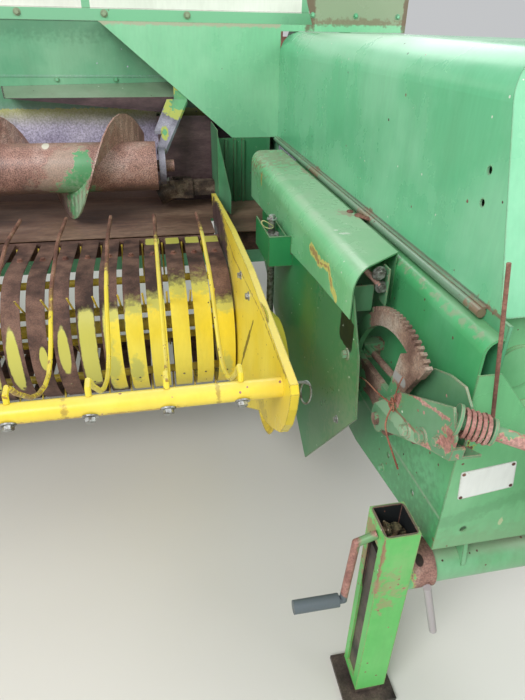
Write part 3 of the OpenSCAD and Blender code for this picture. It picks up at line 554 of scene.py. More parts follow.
        height = put(tree, "Math", (gone, -1.0, pit), operation="MULTIPLY_ADD")
        bump = put(tree, "Bump", {"Strength": 0.25, "Distance": 0.0006, "Height": height})
        return {"Base Color": tone, "Roughness": rough, "Normal": bump}


@dataclass(frozen=True)
class BareMetal(Finish):
    """Zinc-plated or rubbed steel: grey, a soft shine, clouded by handling.

    Attributes:
        bright, dull: The clean metal and the grime in its hollows.
        rough: The mean roughness.
        metal: How metallic it is.
        grain_mm: The width of the cloudy marks.
        slot: The record's material slot; not used.
    """

    bright: str = "#B9BCBB"
    dull: str = "#6F6A62"
    rough: float = 0.42
    metal: float = 0.75
    grain_mm: float = 9.0
    slot: str = "worn_steel"

    def surface(self, tree: Tree, place: Socket) -> dict[str, Any]:
        """Adds the finish's nodes.

        Args:
            tree: The material's node tree.
            place: The point.

        Returns:
            What goes into the shader's inputs.
        """
        noise = put(tree, "TexNoise", {"Vector": place, "Scale": MM / self.grain_mm, "Detail": 5.0,
                                       "Roughness": 0.65})
        share = put(tree, "MapRange", (noise, 0.42, 0.62))
        tone = put(tree, "Mix", {0: share, 6: colour(self.bright), 7: colour(self.dull)}, 2,
                   data_type="RGBA")
        rough = put(tree, "MapRange", (noise, 0.3, 0.7, self.rough - 0.1, self.rough + 0.2))
        bump = put(tree, "Bump", {"Strength": 0.12, "Distance": 0.0008, "Height": noise})
        return {"Base Color": tone, "Roughness": rough, "Normal": bump, "Metallic": self.metal}


@dataclass(frozen=True)
class AgedRubber(Finish):
    """Vulcanised rubber, moulded: near black, greyed by bloom and dry soil, a dull shine.

    Attributes:
        base, bloom: The rubber and the grey on it.
        rough: The mean roughness.
        slot: The record's material slot; not used.
    """

    base: str = "#1E1F1F"
    bloom: str = "#4B4944"
    rough: float = 0.62
    slot: str = "tyre_black"

    def surface(self, tree: Tree, place: Socket) -> dict[str, Any]:
        """Adds the finish's nodes.

        Args:
            tree: The material's node tree.
            place: The point.

        Returns:
            What goes into the shader's inputs.
        """
        wide = put(tree, "TexNoise", {"Vector": place, "Scale": 14.0, "Detail": 6.0})
        fine = put(tree, "TexNoise", {"Vector": place, "Scale": 320.0, "Detail": 2.0})
        share = put(tree, "MapRange", (wide, 0.42, 0.7, 0.0, 0.8))
        tone = put(tree, "Mix", {0: share, 6: colour(self.base), 7: colour(self.bloom)}, 2,
                   data_type="RGBA")
        rough = put(tree, "MapRange", (wide, 0.3, 0.7, self.rough - 0.12, self.rough + 0.2))
        bump = put(tree, "Bump", {"Strength": 0.15, "Distance": 0.0008, "Height": fine})
        return {"Base Color": tone, "Roughness": rough, "Normal": bump}


# Steel without paint, rubber and the small plate

# Red rust on thin steel and small rivets: dry, orange brown, grainy.
RUST = RustedSteel("red_rust_steel", "#4E3029", "#7A5246", "#9A7260")
# Old rust in the shade: browner, darker, flat.
DEEP_RUST = RustedSteel("brown_rust_steel", "#3A2823", "#5E443B", "#7C5D50")
# Steel that the crop has rubbed: pale violet grey, a soft shine, no scale left.
SCOURED = RustedSteel("crop_scoured_steel", "#928AA0", "#A59EB4", "#B7B0C2", grain_mm=6.0,
                      grain=0.3, blotch_mm=120.0, rough=0.45, relief=0.1)
# The same on the wall behind the auger, brown along its foot, with painted shade darkening its
# corner behind the strap.
WALL_STEEL = replace(
    SCOURED, name="feeder_wall_steel", dark="#9A92A8", mid="#ABA4BA", light="#BDB6C8", marks=(
        Mark("#5E473B", (Patch((-1140, 1665, 730), (4000, 90, 90), True),), 0.95, 0.06, 0.3),
        # painted shade: the dark corner beside the drive housing and behind the strap
        Mark("#4A373A", (Patch((-420, 1665, 880), (250, 90, 170), True),), 0.9, 0.04, 0.15),))
# Floor steel under straw: warm brown, smooth, streaked along the platform.
TRODDEN = RustedSteel("straw_polished_floor_steel", "#644C40", "#7D6252", "#927765", grain_mm=9.0,
                      grain=0.2, blotch_mm=150.0, drawn=(0.35, 1.0, 1.0), rough=0.55, relief=0.15)
# The auger's steel: pinkish rust with bright rubbed grains, and painted shade darkening its
# underside.
AUGER_RUST = RustedSteel(
    "speckled_auger_rust", "#86655B", "#9C776B", "#B0948A", grain_mm=3.6, grain=0.5,
    blotch_mm=160.0, rough=0.42, metal=0.15, marks=(
        Mark("#DAD3C2", (Patch((-1064, 1368, 973), (13, 30, 11)),)),
        # painted shade: a darker band along the auger's underside
        Mark("#6E625E", (Patch((-1500, 1393, 790), (1200, 90, 60)),), 0.7, 0.3, 0.4),
        Mark("#C6BBA8", (Patch((-1000, 1330, 905), (55, 90, 60)),), 0.35, 1.6, 0.4),))
# Steel that the crop scours and stains: dark purple brown, smooth, streaked along x.
DARK_SCOUR = RustedSteel("purple_brown_scoured_steel", "#3A2B2E", "#503D3F", "#655150",
                         grain=0.15, rough=0.5, relief=0.15, drawn=(0.3, 1.0, 1.0))
# Spring steel: thin, even, pinkish rust with a faint sheen.
SPRING_RUST = RustedSteel("spring_pink_rust", "#8A5B52", "#A97A70", "#BF968C", rough=0.6)
# Zinc plate: light grey metal with a soft, clouded shine.
ZINC = BareMetal("zinc_plated_steel")
# Zinc after years outdoors: darker, hardly a highlight.
DULL_ZINC = BareMetal("weathered_zinc", "#94958F", "#57534B", rough=0.55, metal=0.5)
# Cut teeth with old grease: dark and warm, with a wet shine.
GEAR_STEEL = BareMetal("greasy_gear_steel", "#8A7A60", "#3A332B", rough=0.35, metal=0.5)
# Moulded rubber: near black under a grey bloom, one broad dull highlight.
BLACK_RUBBER = AgedRubber("tyre_rubber")
# White enamel on a thin plate: clean and satin, with rust at its edges.
PLATE_METAL = WornEnamel("blank_plate_white", "#F6F7F4", "#ECEDE8", dirt="#A8A49A",
                         dirt_share=0.25, chips=0.06, specks=0.0, edge=0.8, slot="white_paint")
# Waxed wire: pale straw yellow, little shine.
WIRE_CLIP = BareMetal("waxed_clip_wire", "#DCD69A", "#B5AE7A", metal=0.2, slot="yellow")
# Soft iron wire: bright orange rust.
TIE_WIRE = RustedSteel("tie_wire_rust", "#7A4534", "#97604C", "#B08468")

# Paint that is whole all over its node

# The machine's enamel: mid green, faded in clouds, satin.
MID_GREEN = WornEnamel("enamel_mid_green", "#54A173", "#74B78D")
# A darker copy of the machine green, dirtier, its darkness painted shade for what sits low or
# inside.
DEEP_GREEN = WornEnamel("enamel_deep_green", "#33704B", "#4F8C63", dirt_share=0.5)
# Yellow that the crop has nearly worn off: chips, brown runs, bright edges gone.
REEL = WornEnamel("reel_worn_yellow", "#D9BC32", "#C9B44A", under=DEEP_RUST, dirt="#5E4438",
                  dirt_share=0.8, chips=0.3, specks=0.0, edge=1.0, dust_share=0.0)
# Yellow of rims and arms: warm, chalked, lightly chipped.
YELLOW = WornEnamel("enamel_yellow", "#EFD63A", "#F2E46A", dust="#B8A878", dirt="#6B5A34",
                    chips=0.12, specks=0.0, edge=0.7)
# White enamel, with green sprayed over its foot and the frames of its panels.
BOX_WHITE = WornEnamel(
    "twine_box_white", "#EEF0E6", "#E2E5DA", dirt="#8B8674", dirt_share=0.12, chips=0.02,
    specks=0.0, marks=(
        Mark("#7FBE95", (Patch((-900, 1660, 1290), (9000, 900, 76), True),), 1.0, 0.0, 0.005),
        Mark("#7FBE95", tuple(Patch((x, 1660, 1500), (14, 40, 240), True)
                              for x in (-2030, -1480, -900, -120, 225)), 1.0, 0.0, 0.01),
        Mark("#55584E", chain(1.6, (-2040, 1665, 1367), (235, 1665, 1367)), 0.8, 0.2, 0.3),))

# Paint with the wear of one place, some with painted light and shade

# Light green with a clear satin shine, its folded edge and lower flange rubbed to rust.
HOOD_GREEN = WornEnamel(
    "hood_light_green", "#6EC392", "#8AD0A6", dirt_share=0.1, specks=0.07, chips=0.008,
    dust="#B4BBA8", dust_share=0.3, edge=0.8, rough=0.26, slot="hood_green",
    bare=(Streak((-251, 27, 1190), (-251, 27, 1120), 5.0),
          Streak((-247, 27, 1010), (-249, 27, 985), 4.0)),
    marks=(Mark("#4B9B6C", chain(6.0, (-249, 316, 1268), (-250, 250, 1228), (-251, 174, 1183)),
                0.45, 0.3, 0.5),
           Mark("#6C7566", (Patch((-243, 760, 946), (20, 800, 17), True),), 0.75, 0.02, 0.05),
           Mark("#8A6A55", chain(2.2, (-252, 25, 1285), (-252, 25, 965)), 0.85, 0.7, 0.2),
           Mark("#8B6B58", (Patch((-243, 560, 948), (20, 46, 16)), Patch((-243, 990, 948),
                            (20, 60, 16)), Patch((-243, 60, 950), (20, 40, 16))), 0.8, 0.5, 0.2),))
# Light green below, a greyer and darker olive above, with rust beside the seams.
PANEL_GREEN = WornEnamel(
    "panel_light_green", "#80C799", "#92D1A6", dirt_share=0.06, specks=0.06, chips=0.004,
    rough=0.28, slot="hood_green", marks=(
        Mark("#94A284", (Patch((0, 1562, 1480), (9000, 900, 147), True),), 0.95, 0.0, 0.01),
        Mark("#B5AD96", chain(7.0, (-850, 1560, 1327), (-240, 1560, 1327)), 0.8, 0.5, 0.5),
        Mark("#6E5241", (Patch((-128, 1560, 1375), (16, 30, 70), True),
                         Patch((228, 1560, 1375), (9, 30, 70), True)), 0.8, 0.3, 0.3),
        Mark("#7C6650", (Patch((50, 1560, 1340), (170, 30, 10)),), 0.6, 0.8, 0.4),))
# Yellowish green, chipped, with a dusty foot and rust where its corners rub.
SHEET_GREEN = WornEnamel(
    "front_sheet_green", "#75BC84", "#8CC998", dirt_share=0.15, specks=0.08, chips=0.05,
    edge=0.8, ragged=0.6,
    bare=(Patch((-252, 0, 728), (14, 30, 13)), Patch((-245, 0, 905), (10, 30, 22))),
    marks=(Mark("#7E9A70", (Patch((-100, 0, 462), (400, 80, 55)),), 0.4, 0.3, 0.5),
           Mark("#5F9468", chain(14.0, (-255, 0, 552), (-120, 0, 592), (60, 0, 600)), 0.4, 0.6,
                0.6),
           Mark("#C9CDA4", (Patch((-136, 0, 530), (4, 30, 10)),), 0.8, 0.5, 0.2),))
# Green above and scoured steel below, parted by a thin yellow line of primer, with painted shade
# darkening its top under the twine box.
WALL_GREEN = WornEnamel(
    "feeder_wall_green", "#5E9F79", "#7AB08B", under=WALL_STEEL, rim=0.022, ragged=0.005,
    dirt="#59604A", dirt_share=0.2, chips=0.01, specks=0.02, primer="#C8CC5A",
    bare=(Patch((-1140, 1665, 300), (90000, 2.5, 734)),),
    # painted shade: a darker band along the wall's top under the twine box's flange
    marks=(Mark("#4E7F60", (Patch((-1140, 1665, 1340), (1600, 60, 60)),), 0.6, 0.3, 0.5),))
# Dusty green on what faces up, dark bare steel where the crop slides by.
WEDGE = WornEnamel(
    "deflector_dusty_green", "#628568", "#78957C", under=DARK_SCOUR, upward=0.5, dust_share=0.25,
    edge=0.9, chips=0.02)
# Smoothly scoured steel, green left only at its upper end.
STRAP = WornEnamel(
    "bearing_strap_green", "#58A06A", "#6FAF7C", under=RustedSteel(
        "strap_scoured_steel", "#6A6672", "#8A8794", "#A7A5B2", grain=0.12, rough=0.5,
        metal=0.2, relief=0.1), primer="#AEB65A", rim=0.45, ragged=0.2,
    only=(Patch((-600, 1530, 1090), (80, 120, 62)), Patch((-668, 1470, 992), (14, 40, 24))))
# The auger: rubbed rust, with patches of worn green left on a few turns.
AUGER_PAINT = WornEnamel(
    "auger_worn_green", "#569F68", "#7FAE84", under=AUGER_RUST, primer="#A9A98A", rim=0.05,
    ragged=0.3, chips=0.2, dust_share=0.0,
    only=(Patch((-948, 1325, 918), (32, 70, 50)), Patch((-978, 1330, 856), (40, 70, 50)),
          Patch((-985, 1280, 790), (95, 125, 78))),
    marks=(Mark("#A9BBA0", (Patch((-985, 1270, 795), (70, 80, 75)),), 0.75, 0.4, 0.5),))
# Dark green, streaked with dirt, chipped at every edge.
DRIVE_GREEN = WornEnamel("feeder_housing_green", "#3F8257", "#5B9A70", dirt_share=0.5, edge=0.9)
# The glossiest green, with a dried yellow smear, rust behind and pale flecks.
SHIELD_GREEN = WornEnamel(
    "drive_shield_green", "#76C088", "#8CCD9A", dust="#B4BCA8", dust_share=0.6, dirt_share=0.1,
    specks=0.05, rough=0.25, chips=0.03, marks=(
        Mark("#DCD37A", chain(13.0, (-385, 520, 896), (-385, 453, 887))
             + chain(9.0, (-385, 453, 887), (-385, 385, 901), (-385, 355, 870), (-385, 326, 859)),
             0.95, 0.35, 0.12),
        Mark("#B08C62", chain(7.0, (-385, 520, 896), (-385, 453, 887))
             + chain(3.0, (-385, 453, 887), (-385, 385, 901), (-385, 355, 870)), 0.9, 0.9, 0.2),
        Mark("#CBB65A", (Patch((-385, 1110, 905), (8, 9, 20)),), 0.9, 0.5, 0.2),
        Mark("#8D6A50", (Patch((-310, 1235, 950), (70, 120, 40)),), 0.75, 1.5, 0.3),
        Mark("#96644F", (Patch((-290, 585, 950), (16, 22, 12)), Patch((-268, 1010, 950),
                         (9, 60, 12))), 0.9, 0.8, 0.2),
        Mark("#E6EFE4", (Patch((-334, 446, 950), (13, 5, 9)), Patch((-345, 470, 950), (4, 4, 4)),
                         ), 0.95, 0.7, 0.2),))
# Darker, bluer green, its darkness painted shade under the shield, with painted light on its bent
# front, a slot painted dark, olive dust and a yellowish painted reflection.
PLATE_GREEN = WornEnamel(
    "shield_plate_green", "#1F8048", "#348E55", dirt_share=0.06, specks=0.05, chips=0.05, edge=0.9,
    # painted light: the front part, lighter as if turned more to the light at its bend
    marks=(Mark("#4F8458", (Patch((-380, 100, 600), (100, 358, 3000)),), 0.75, 0.1, 0.03),
           Mark("#87906F", (Patch((-380, 210, 560), (60, 90, 190)),), 0.35, 0.9, 0.5),
           # painted shade: the dark inside of a slot, drawn flat on the plate
           Mark("#121812", (Patch((-380, 262, 820), (9, 37, 32), True),), 0.97, 0.05, 0.05),
           # painted reflection: a yellowish glow low on the plate's rear part
           Mark("#7A8B3A", (Patch((-380, 520, 700), (60, 60, 110)),), 0.4, 0.4, 0.7),))
# Green with a pale line of dust and painted highlight along a ridge, dust under the hood and painted
# shade along its foot.
SKIRT_GREEN = WornEnamel(
    "skirt_green", "#50AC6E", "#6CBC87", dirt_share=0.15, specks=0.06, chips=0.04,
    # a pale line: partly dust, partly a painted highlight on the ridge
    marks=(Mark("#A9BFA2", chain(3.5, (-265, 900, 540), (-265, 237, 550), (-265, 4, 563)), 0.7,
                0.5, 0.5),
           Mark("#9B9A83", chain(9.0, (-265, 20, 934), (-265, 1200, 934)), 0.6, 0.8, 0.4),
           Mark("#3C6B4A", (Patch((-265, 620, 500), (60, 700, 130)),), 0.5, 0.4, 0.5),))
# Brown rust, pale in a line where the lever rubs, green left on the plate.
QUADRANT = WornEnamel(
    "toothed_sector_green", "#5E9A6C", "#7BA884", under=RustedSteel(
        "toothed_sector_rust", "#6B5046", "#8E7465", "#A69789", marks=(
            Mark("#9C9D9B", chain(9.0, (-326, 289, 772), (-326, 110, 796)), 0.9, 0.1, 0.3),)),
    ragged=0.25, rim=0.03, primer="#8A9A70", chips=0.2,
    only=(Patch((-320, 350, 800), (60, 75, 110)), Patch((-320, 290, 690), (60, 30, 24)),
          Patch((-320, 150, 735), (60, 44, 46))))
# Dusty green with brown runs, every edge and bolt seat rubbed to pinkish rust.
CHEEK = WornEnamel(
    "lever_dusty_green", "#5F946C", "#7EA686", dirt="#7A5A46", dirt_share=0.4, dust_share=0.35,
    chips=0.15, edge=1.0, ragged=0.7, under=SPRING_RUST, rim=0.03,
    bare=(Patch((-338, -70, 815), (16, 16, 20)), Patch((-338, 95, 780), (16, 16, 18)),
          Patch((-338, -18, 764), (16, 26, 7)), Patch((-230, -112, 830), (70, 30, 14)))
    + chain(3.0, (-340, 150, 790), (-340, 60, 812), (-340, -60, 850)), marks=(
        Mark("#93B896", chain(15.0, (-340, 211, 716), (-340, -31, 756)), 0.8, 0.15, 0.05),
        Mark("#8A6450", chain(2.5, (-340, 211, 732), (-340, -31, 772)), 0.9, 0.5, 0.2),))
# The brightest green, chipped to pinkish rust, with painted shade darkening the inside of its slot.
JACK_GREEN = WornEnamel(
    "jack_bright_green", "#5BC05E", "#78CE74", edge=1.0, chips=0.2, specks=0.06,
    dirt_share=0.1, under=RustedSteel("jack_rust", "#8A5A4C", "#A4705F", "#B58A78"), marks=(
        Mark("#A9705D", chain(5.0, (-372, -12, 540), (-372, -12, 395)), 0.85, 0.9, 0.4),
        Mark("#A98A6C", (Patch((-355, -12, 412), (22, 14, 26)), Patch((-338, -12, 388),
                         (18, 14, 14)), Patch((-350, -12, 352), (14, 14, 18))), 0.6, 1.3, 0.4),
        Mark("#A9705D", (Patch((-372, 40, 505), (9, 24, 24)), Patch((-372, 40, 440), (9, 20, 60)),
                         ), 0.7, 0.9, 0.3),
        Mark("#8FC27A", (Patch((-330, -12, 450), (26, 14, 60)),), 0.4, 0.6, 0.6),
        # painted shade: the tube's inside, seen through its slot, painted near black
        Mark("#26292A", (Patch((-337.5, 27, 470), (33.6, 37.6, 150), True),), 1.0, 0.0, 0.01),))
# Pale green under dust, with earth in its runs.
CROSS_GREEN = WornEnamel(
    "cross_tube_green", "#74B583", "#8DC39A", dirt="#7C6E58", dirt_share=0.6, dust_share=0.6,
    chips=0.15, edge=0.8)
# Pinkish rust with a pale rubbed line, green left on its outer side.
COLLAR = WornEnamel(
    "collar_worn_green", "#6CBE7C", "#88C992", under=RustedSteel(
        "collar_rust", "#85625A", "#A0786D", "#B49488", marks=(
            Mark("#B4ADAF", chain(15.0, (-256, -12, 366), (-245, -15, 342), (-219, -12, 222)),
                 1.0, 0.0),
            Mark("#2B201C", (Patch((-272, 18, 430), (9, 13, 14)),), 0.95, 0.1, 0.1),)),
    rim=0.08, ragged=0.3, chips=0.2, only=(Patch((-300, 30, 372), (20, 70, 46)),))
# Pinkish rust, a blue grey grip, green flecks near its root.
CRANK = RustedSteel("crank_rust", "#8A5D55", "#A4776C", "#B58F84", rough=0.5, marks=(
    Mark("#5F696E", chain(22.0, (-432, 20, 341), (-530, 20, 342)), 1.0, 0.0),
    Mark("#6DA873", (Patch((-388, 20, 500), (16, 30, 26)), Patch((-394, 20, 440), (12, 30, 16))),
         0.8, 0.8, 0.3),))
# Greased steel that slides: nearly black, smooth.
LEG = RustedSteel("jack_leg_grease_steel", "#2A2422", "#4A3F3A", "#6A5D52", rough=0.5)
# Blotched dark rust with grease in its hollows.
KNUCKLE = RustedSteel("knuckle_greasy_rust", "#2E2420", "#54443A", "#857564", grain=0.3,
                      blotch_mm=50.0, rough=0.5)


def band_paint(first: float, pitch: float, count: int) -> WornEnamel:
    """Gives the stripper bands' finish: rust, with the paint that the crop has left on each band.

    Args:
        first: Where the first band lies along x, in datum millimetres.
        pitch: The distance from one band to the next.
        count: How many bands there are.

    Returns:
        The finish.
    """
    # How high and how low the paint reaches on the bands beside the bale case, its half width
    # and how far it lies off the band's middle.
    seen = [(652, 300, 34, 0), (694, 300, 36, 0), (692, 310, 36, 0), (668, 300, 36, 0),
            (661, 330, 26, 2), (648, 372, 23, 4), (646, 424, 22, 2), (612, 474, 15, 0),
            (566, 492, 11, 9), (618, 420, 17, -3)]
    left, worn = [], []
    for i in range(count):
        high, low, half, off = seen[i] if i < len(seen) else seen[7 + (i * 5) % 3]
        x = first - pitch * i
        left.append(Patch((x + off, 740, (high + low) / 2), (half, 260, (high - low) / 2),
                          half > 20))
        worn.append(Patch((x + off, 740, high - 4), (40, 160, 30)))
        if i < 4:
            left.append(Patch((x + 2, 1128, 712), (22, 30, 30), True))
        if i in (0, 4, 5):
            worn.append(Patch((x - 4, 740, (high + low) / 2 - 30), (19, 160, 48)))
        if i > 5:
            worn.append(Patch((x, 740, (high + low) / 2), (60, 160, 300)))
    worn.append(Patch((first - 1.5 * pitch, 1118, 712), (200, 60, 30)))
    return WornEnamel("band_yellow_over_rust", "#EDD435", "#F0DE52", under=DEEP_RUST,
                      primer="#B0AE58", rim=0.05, only=tuple(left), ragged=0.045, specks=0.0,
                      chips=0.03, edge=0.0, dirt_share=0.1, dust_share=0.0,
                      marks=(Mark("#BDBE62", tuple(worn), 0.8, 0.25, 0.3),))


def rod_paint(first: float, pitch: float, count: int) -> WornEnamel:
    """Gives the wind guard rods' finish: yellow near their tube, bare and rusty behind.

    Args:
        first: Where the first rod lies along x, in datum millimetres.
        pitch: The distance from one rod to the next.
        count: How many rods there are.

    Returns:
        The finish.
    """
    ends = [1000, 930, 790, 680]
    left = tuple(Patch((first - pitch * i, ends[min(i, 3)] - 600, 720), (26, 600, 300))
                 for i in range(count))
    return WornEnamel("guard_rod_yellow_over_rust", "#EBD53C", "#EFDF62", only=left, ragged=0.05,
                      rim=0.02, primer="#B59A4A", specks=0.0, chips=0.2, edge=0.0,
                      under=RustedSteel("rod_rust", "#5A3A30", "#7C5445", "#94705C"),
                      marks=(Mark("#8A5A3A", (Patch((-730, 330, 700), (60, 130, 70)),
                                              Patch((-998, 330, 700), (60, 130, 70))),
                                  0.75, 1.2, 0.1),))


# Warm yellow, scraped along its edges, a dark line painted as the shadow of a crease, bare at its
# rear.
PICKUP_YELLOW = WornEnamel(
    "pickup_plate_yellow", "#EBCF34", "#F0DB56", dust="#C9B46A", dirt="#6B5A34", chips=0.14,
    specks=0.0, edge=0.9, dirt_share=0.12, ragged=0.2, rim=0.08, primer="#A8985A",
    under=DARK_SCOUR,
    bare=(Patch((-521, 1150, 742), (9, 200, 76)), Patch((-521, 1010, 690), (9, 90, 60))),
    # painted shadow: the dark slit of a crease along the plate
    marks=(Mark("#4A3B22", chain(4.0, (-521, 493, 732), (-521, 540, 672))
                + chain(8.0, (-521, 540, 672), (-521, 640, 545)) + chain(4.0, (-521, 640, 545),
                                                                      (-521, 713, 442)),
                0.9, 0.2, 0.3),
           Mark("#B9A560", (Patch((-519, 960, 660), (60, 120, 90)),), 0.5, 0.5, 0.5),
           Mark("#6A5433", chain(3.0, (-480, 1250, 700), (-480, 160, 700)), 0.6, 1.3, 0.3),
           Mark("#8C7A4E", (Patch((-500, 360, 560), (60, 60, 40)),), 0.4, 0.8, 0.5),
           Mark("#7A5A3A", chain(2.5, (-521, 1220, 812), (-521, 800, 770), (-521, 400, 800),
                                 (-521, 170, 790)), 0.7, 1.2, 0.3),))
# Light yellow, chipped, its end rubbed bare.
TUBE_YELLOW = WornEnamel(
    "guard_tube_yellow", "#EDD246", "#F0DC62", dust="#D8CC86", dirt="#6B5A34", chips=0.3,
    specks=0.0, edge=0.7, dirt_share=0.12, ragged=0.6, under=SPRING_RUST,
    bare=(Patch((-506, 200, 748), (5, 30, 30)),), marks=(
        Mark("#B4874A", chain(3.0, (-1060, 185, 736), (-700, 184, 738)), 0.7, 1.4, 0.3),
        Mark("#8B6A3A", (Patch((-905, 200, 755), (5, 40, 30)), Patch((-640, 200, 755),
                         (4, 40, 30))), 0.6, 0.8, 0.4),))


# ---------------------------------------------------------------- mesh helpers


@cache
def material_of(finish: Finish) -> bpy.types.Material:
    """Gives a finish's material, built once."""
    return finish.material()


def shown(data: bpy.types.ID, name: str, finish: Finish, body: str) -> None:
    """Puts a mesh or curve in the scene as a piece.

    Args:
        data: The mesh or curve, its points in frame metres.
        name: The piece's name.
        finish: Its finish.
        body: The CAD body that it moves with.
    """
    data.materials.append(material_of(finish))
    piece = bpy.data.objects.new(name, data)
    bpy.context.scene.collection.objects.link(piece)
    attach(piece, body)
    LOG.info("%s rides on %s", name, body)


def finished(bm: Mesh, name: str, finish: Finish, body: str = "frame") -> None:
    """Turns a bmesh in frame metres into a piece, and frees it.

    Args:
        bm: The bmesh.
        name: The piece's name.
        finish: Its finish.
        body: The CAD body that it moves with.
    """
    bmesh.ops.remove_doubles(bm, verts=bm.verts, dist=1e-6)
    bmesh.ops.recalc_face_normals(bm, faces=bm.faces)
    mesh = bpy.data.meshes.new(name)
    bm.to_mesh(mesh)
    bm.free()
    mesh.shade_smooth()
    mesh.set_sharp_from_angle(angle=SHARP)
    shown(mesh, name, finish, body)


def wire(name: str, finish: Finish, thick: float, points: list[Point], body: str = "frame",
         closed: bool = False) -> None:
    """Makes a bent rod or wire of round steel.

    Args:
        name: The piece's name.
        finish: Its finish.
        thick: Its diameter in millimetres.
        points: What it follows, in datum millimetres.
        body: The CAD body that it moves with.
        closed: Whether its ends meet.
    """
    data = bpy.data.curves.new(name, "CURVE")
    data.dimensions = "3D"
    data.bevel_depth = thick / 2.0 / MM
    data.bevel_resolution = 3
    data.resolution_u = data.render_resolution_u = 5
    data.use_fill_caps = True
    line = data.splines.new("NURBS")
    line.points.add(len(points) - 1)
    for knot, point in zip(line.points, points):
        knot.co = (*at(*point), 1.0)
    line.order_u = 3
    line.use_endpoint_u = not closed
    line.use_cyclic_u = closed
    shown(data, name, finish, body)


def soften(bm: Mesh, geom: list[Any], offset: float, segments: int = 1, affect: str = "EDGES"
           ) -> None:
    """Rounds edges or corners.

    Args:
        bm: The mesh.
        geom: The edges or corners.
        offset: How far the rounding reaches, in metres.
        segments: How many faces it has.
        affect: EDGES or VERTICES.
    """
    bmesh.ops.bevel(bm, geom=geom, offset=offset, offset_type="OFFSET", affect=affect,
                    segments=segments, profile=0.5, material=-1)


def flat_bars(name: str, finish: Finish, offset: float, *bars: tuple[Point, Point]) -> None:
    """Makes one piece of flat bars or plates that lie square to the frame.

    Args:
        name: The piece's name.
        finish: Its finish.
        offset: The rounding of their edges, in metres.
        *bars: Each one's middle and size, in datum millimetres.
    """
    bm = bmesh.new()
    for middle, size in bars:
        bmesh.ops.create_cube(bm, size=1.0 / MM, matrix=Matrix.Translation(at(*middle))
                              @ Matrix.Diagonal((*size, 1)))
    soften(bm, list(bm.edges), offset)
    finished(bm, name, finish)


def circle(x: float, y: float, radius: float, count: int) -> list[tuple[float, float]]:
    """Gives evenly spaced places on a circle.

    Args:
        x, y: The circle's middle.
        radius: Its radius.
        count: How many places there are.

    Returns:
        The places, from the one beyond the middle on the first axis.
    """
    turns = [math.tau * i / count for i in range(count)]
    return [(x + radius * math.cos(a), y + radius * math.sin(a)) for a in turns]


def facing(way: Vector, place: Vector) -> Matrix:
    """Gives the matrix that turns +Z to a direction and moves the origin to a place."""
    return Matrix.Translation(place) @ way.to_track_quat("Z", "Y").to_matrix().to_4x4()


def add_bolt(bm: Mesh, place: Vector, way: Vector, across: float, turn: float = 0.0) -> None:
    """Adds a hexagon head on a washer.

    Args:
        bm: The mesh that grows.
        place: Where the washer lies, in metres.
        way: The direction that the head faces.
        across: The width across the flats, in millimetres.
        turn: How far the hexagon is turned, in radians.
    """
    size = across / MM
    base = facing(way, place)
    bmesh.ops.create_cone(bm, cap_ends=True, segments=16, radius1=size * 0.85, radius2=size * 0.8,
                          depth=size * 0.16, matrix=base @ Matrix.Translation((0, 0, size * 0.06)))
    head = bmesh.ops.create_cone(
        bm, cap_ends=True, segments=6, radius1=size * 0.577, radius2=size * 0.577,
        depth=size * 0.52,
        matrix=base @ Matrix.Translation((0, 0, size * 0.38)) @ Matrix.Rotation(turn, 4, "Z"))
    faces = dict.fromkeys(f for v in head["verts"] for f in v.link_faces)
    soften(bm, [e for f in faces if len(f.verts) > 4 for e in f.edges], size * 0.06)


def add_rivet(bm: Mesh, place: Vector, way: Vector, across: float) -> None:
    """Adds a domed rivet head of a diameter in millimetres."""
    bmesh.ops.create_uvsphere(bm, u_segments=12, v_segments=6, radius=across / 2.0 / MM,
                              matrix=facing(way, place) @ Matrix.Diagonal((1, 1, 0.6, 1)))


# ---------------------------------------------------------------- sub-assemblies


@dataclass(frozen=True)
class Row:
    """A straight row of bolts or rivets, seated on the CAD node that carries them.

    Attributes:
        node: What carries the row.
        way: The direction from the start to the surface.
        across: The width across the flats, or a rivet's diameter, in millimetres.
        start, end: The row's ends in datum millimetres, off the surface; no end for a single one.
        count: How many there are.
        rivet: Whether they are domed rivets.
    """

    node: str
    way: Axis
    across: float
    start: Point
    end: Point | None = None
    count: int = 1
    rivet: bool = False


@dataclass
class SubAssembly:
    """What every sub-assembly shares: its nodes' finishes and its own pieces.

    Attributes:
        finishes: Each CAD node with its finish.
    """

    frame: dict[str, Any]
    finishes: ClassVar[dict[str, Finish]] = {}

    def dress(self) -> None:
        """Gives each of the sub-assembly's CAD nodes its finish."""
        for node, finish in self.finishes.items():
            slots = self.frame["nodes"][node].data.materials
            slots.clear()
            slots.append(material_of(finish))

    def seat(self, node: str, start: Vector, way: Axis) -> tuple[Vector, Vector] | None:
        """Gives where a line from a place first meets a CAD node, and that face's direction."""
        hit, place, normal, _ = self.frame["nodes"][node].ray_cast(start, way.vector)
        return (place, normal) if hit else None

    def bolts(self, name: str, finish: Finish, *rows: Row, body: str = "frame") -> None:
        """Makes one piece of several rows of bolts, each seated on its node.

        Args:
            name: The piece's name.
            finish: Its finish.
            *rows: The rows.
            body: The CAD body that it moves with.
        """
        bm = bmesh.new()
        for row in rows:
            first, last = at(*row.start), at(*(row.end or row.start))
            for i in range(row.count):
                found = self.seat(row.node, first.lerp(last, i / max(1, row.count - 1)), row.way)
                if found is None:
                    LOG.warning("%s: no seat on %s", name, row.node)
                elif row.rivet:
                    add_rivet(bm, *found, row.across)
                else:
                    add_bolt(bm, *found, row.across, 0.7 * i)
        finished(bm, name, finish, body)

    def build(self) -> None:
        """Makes the sub-assembly's own pieces."""


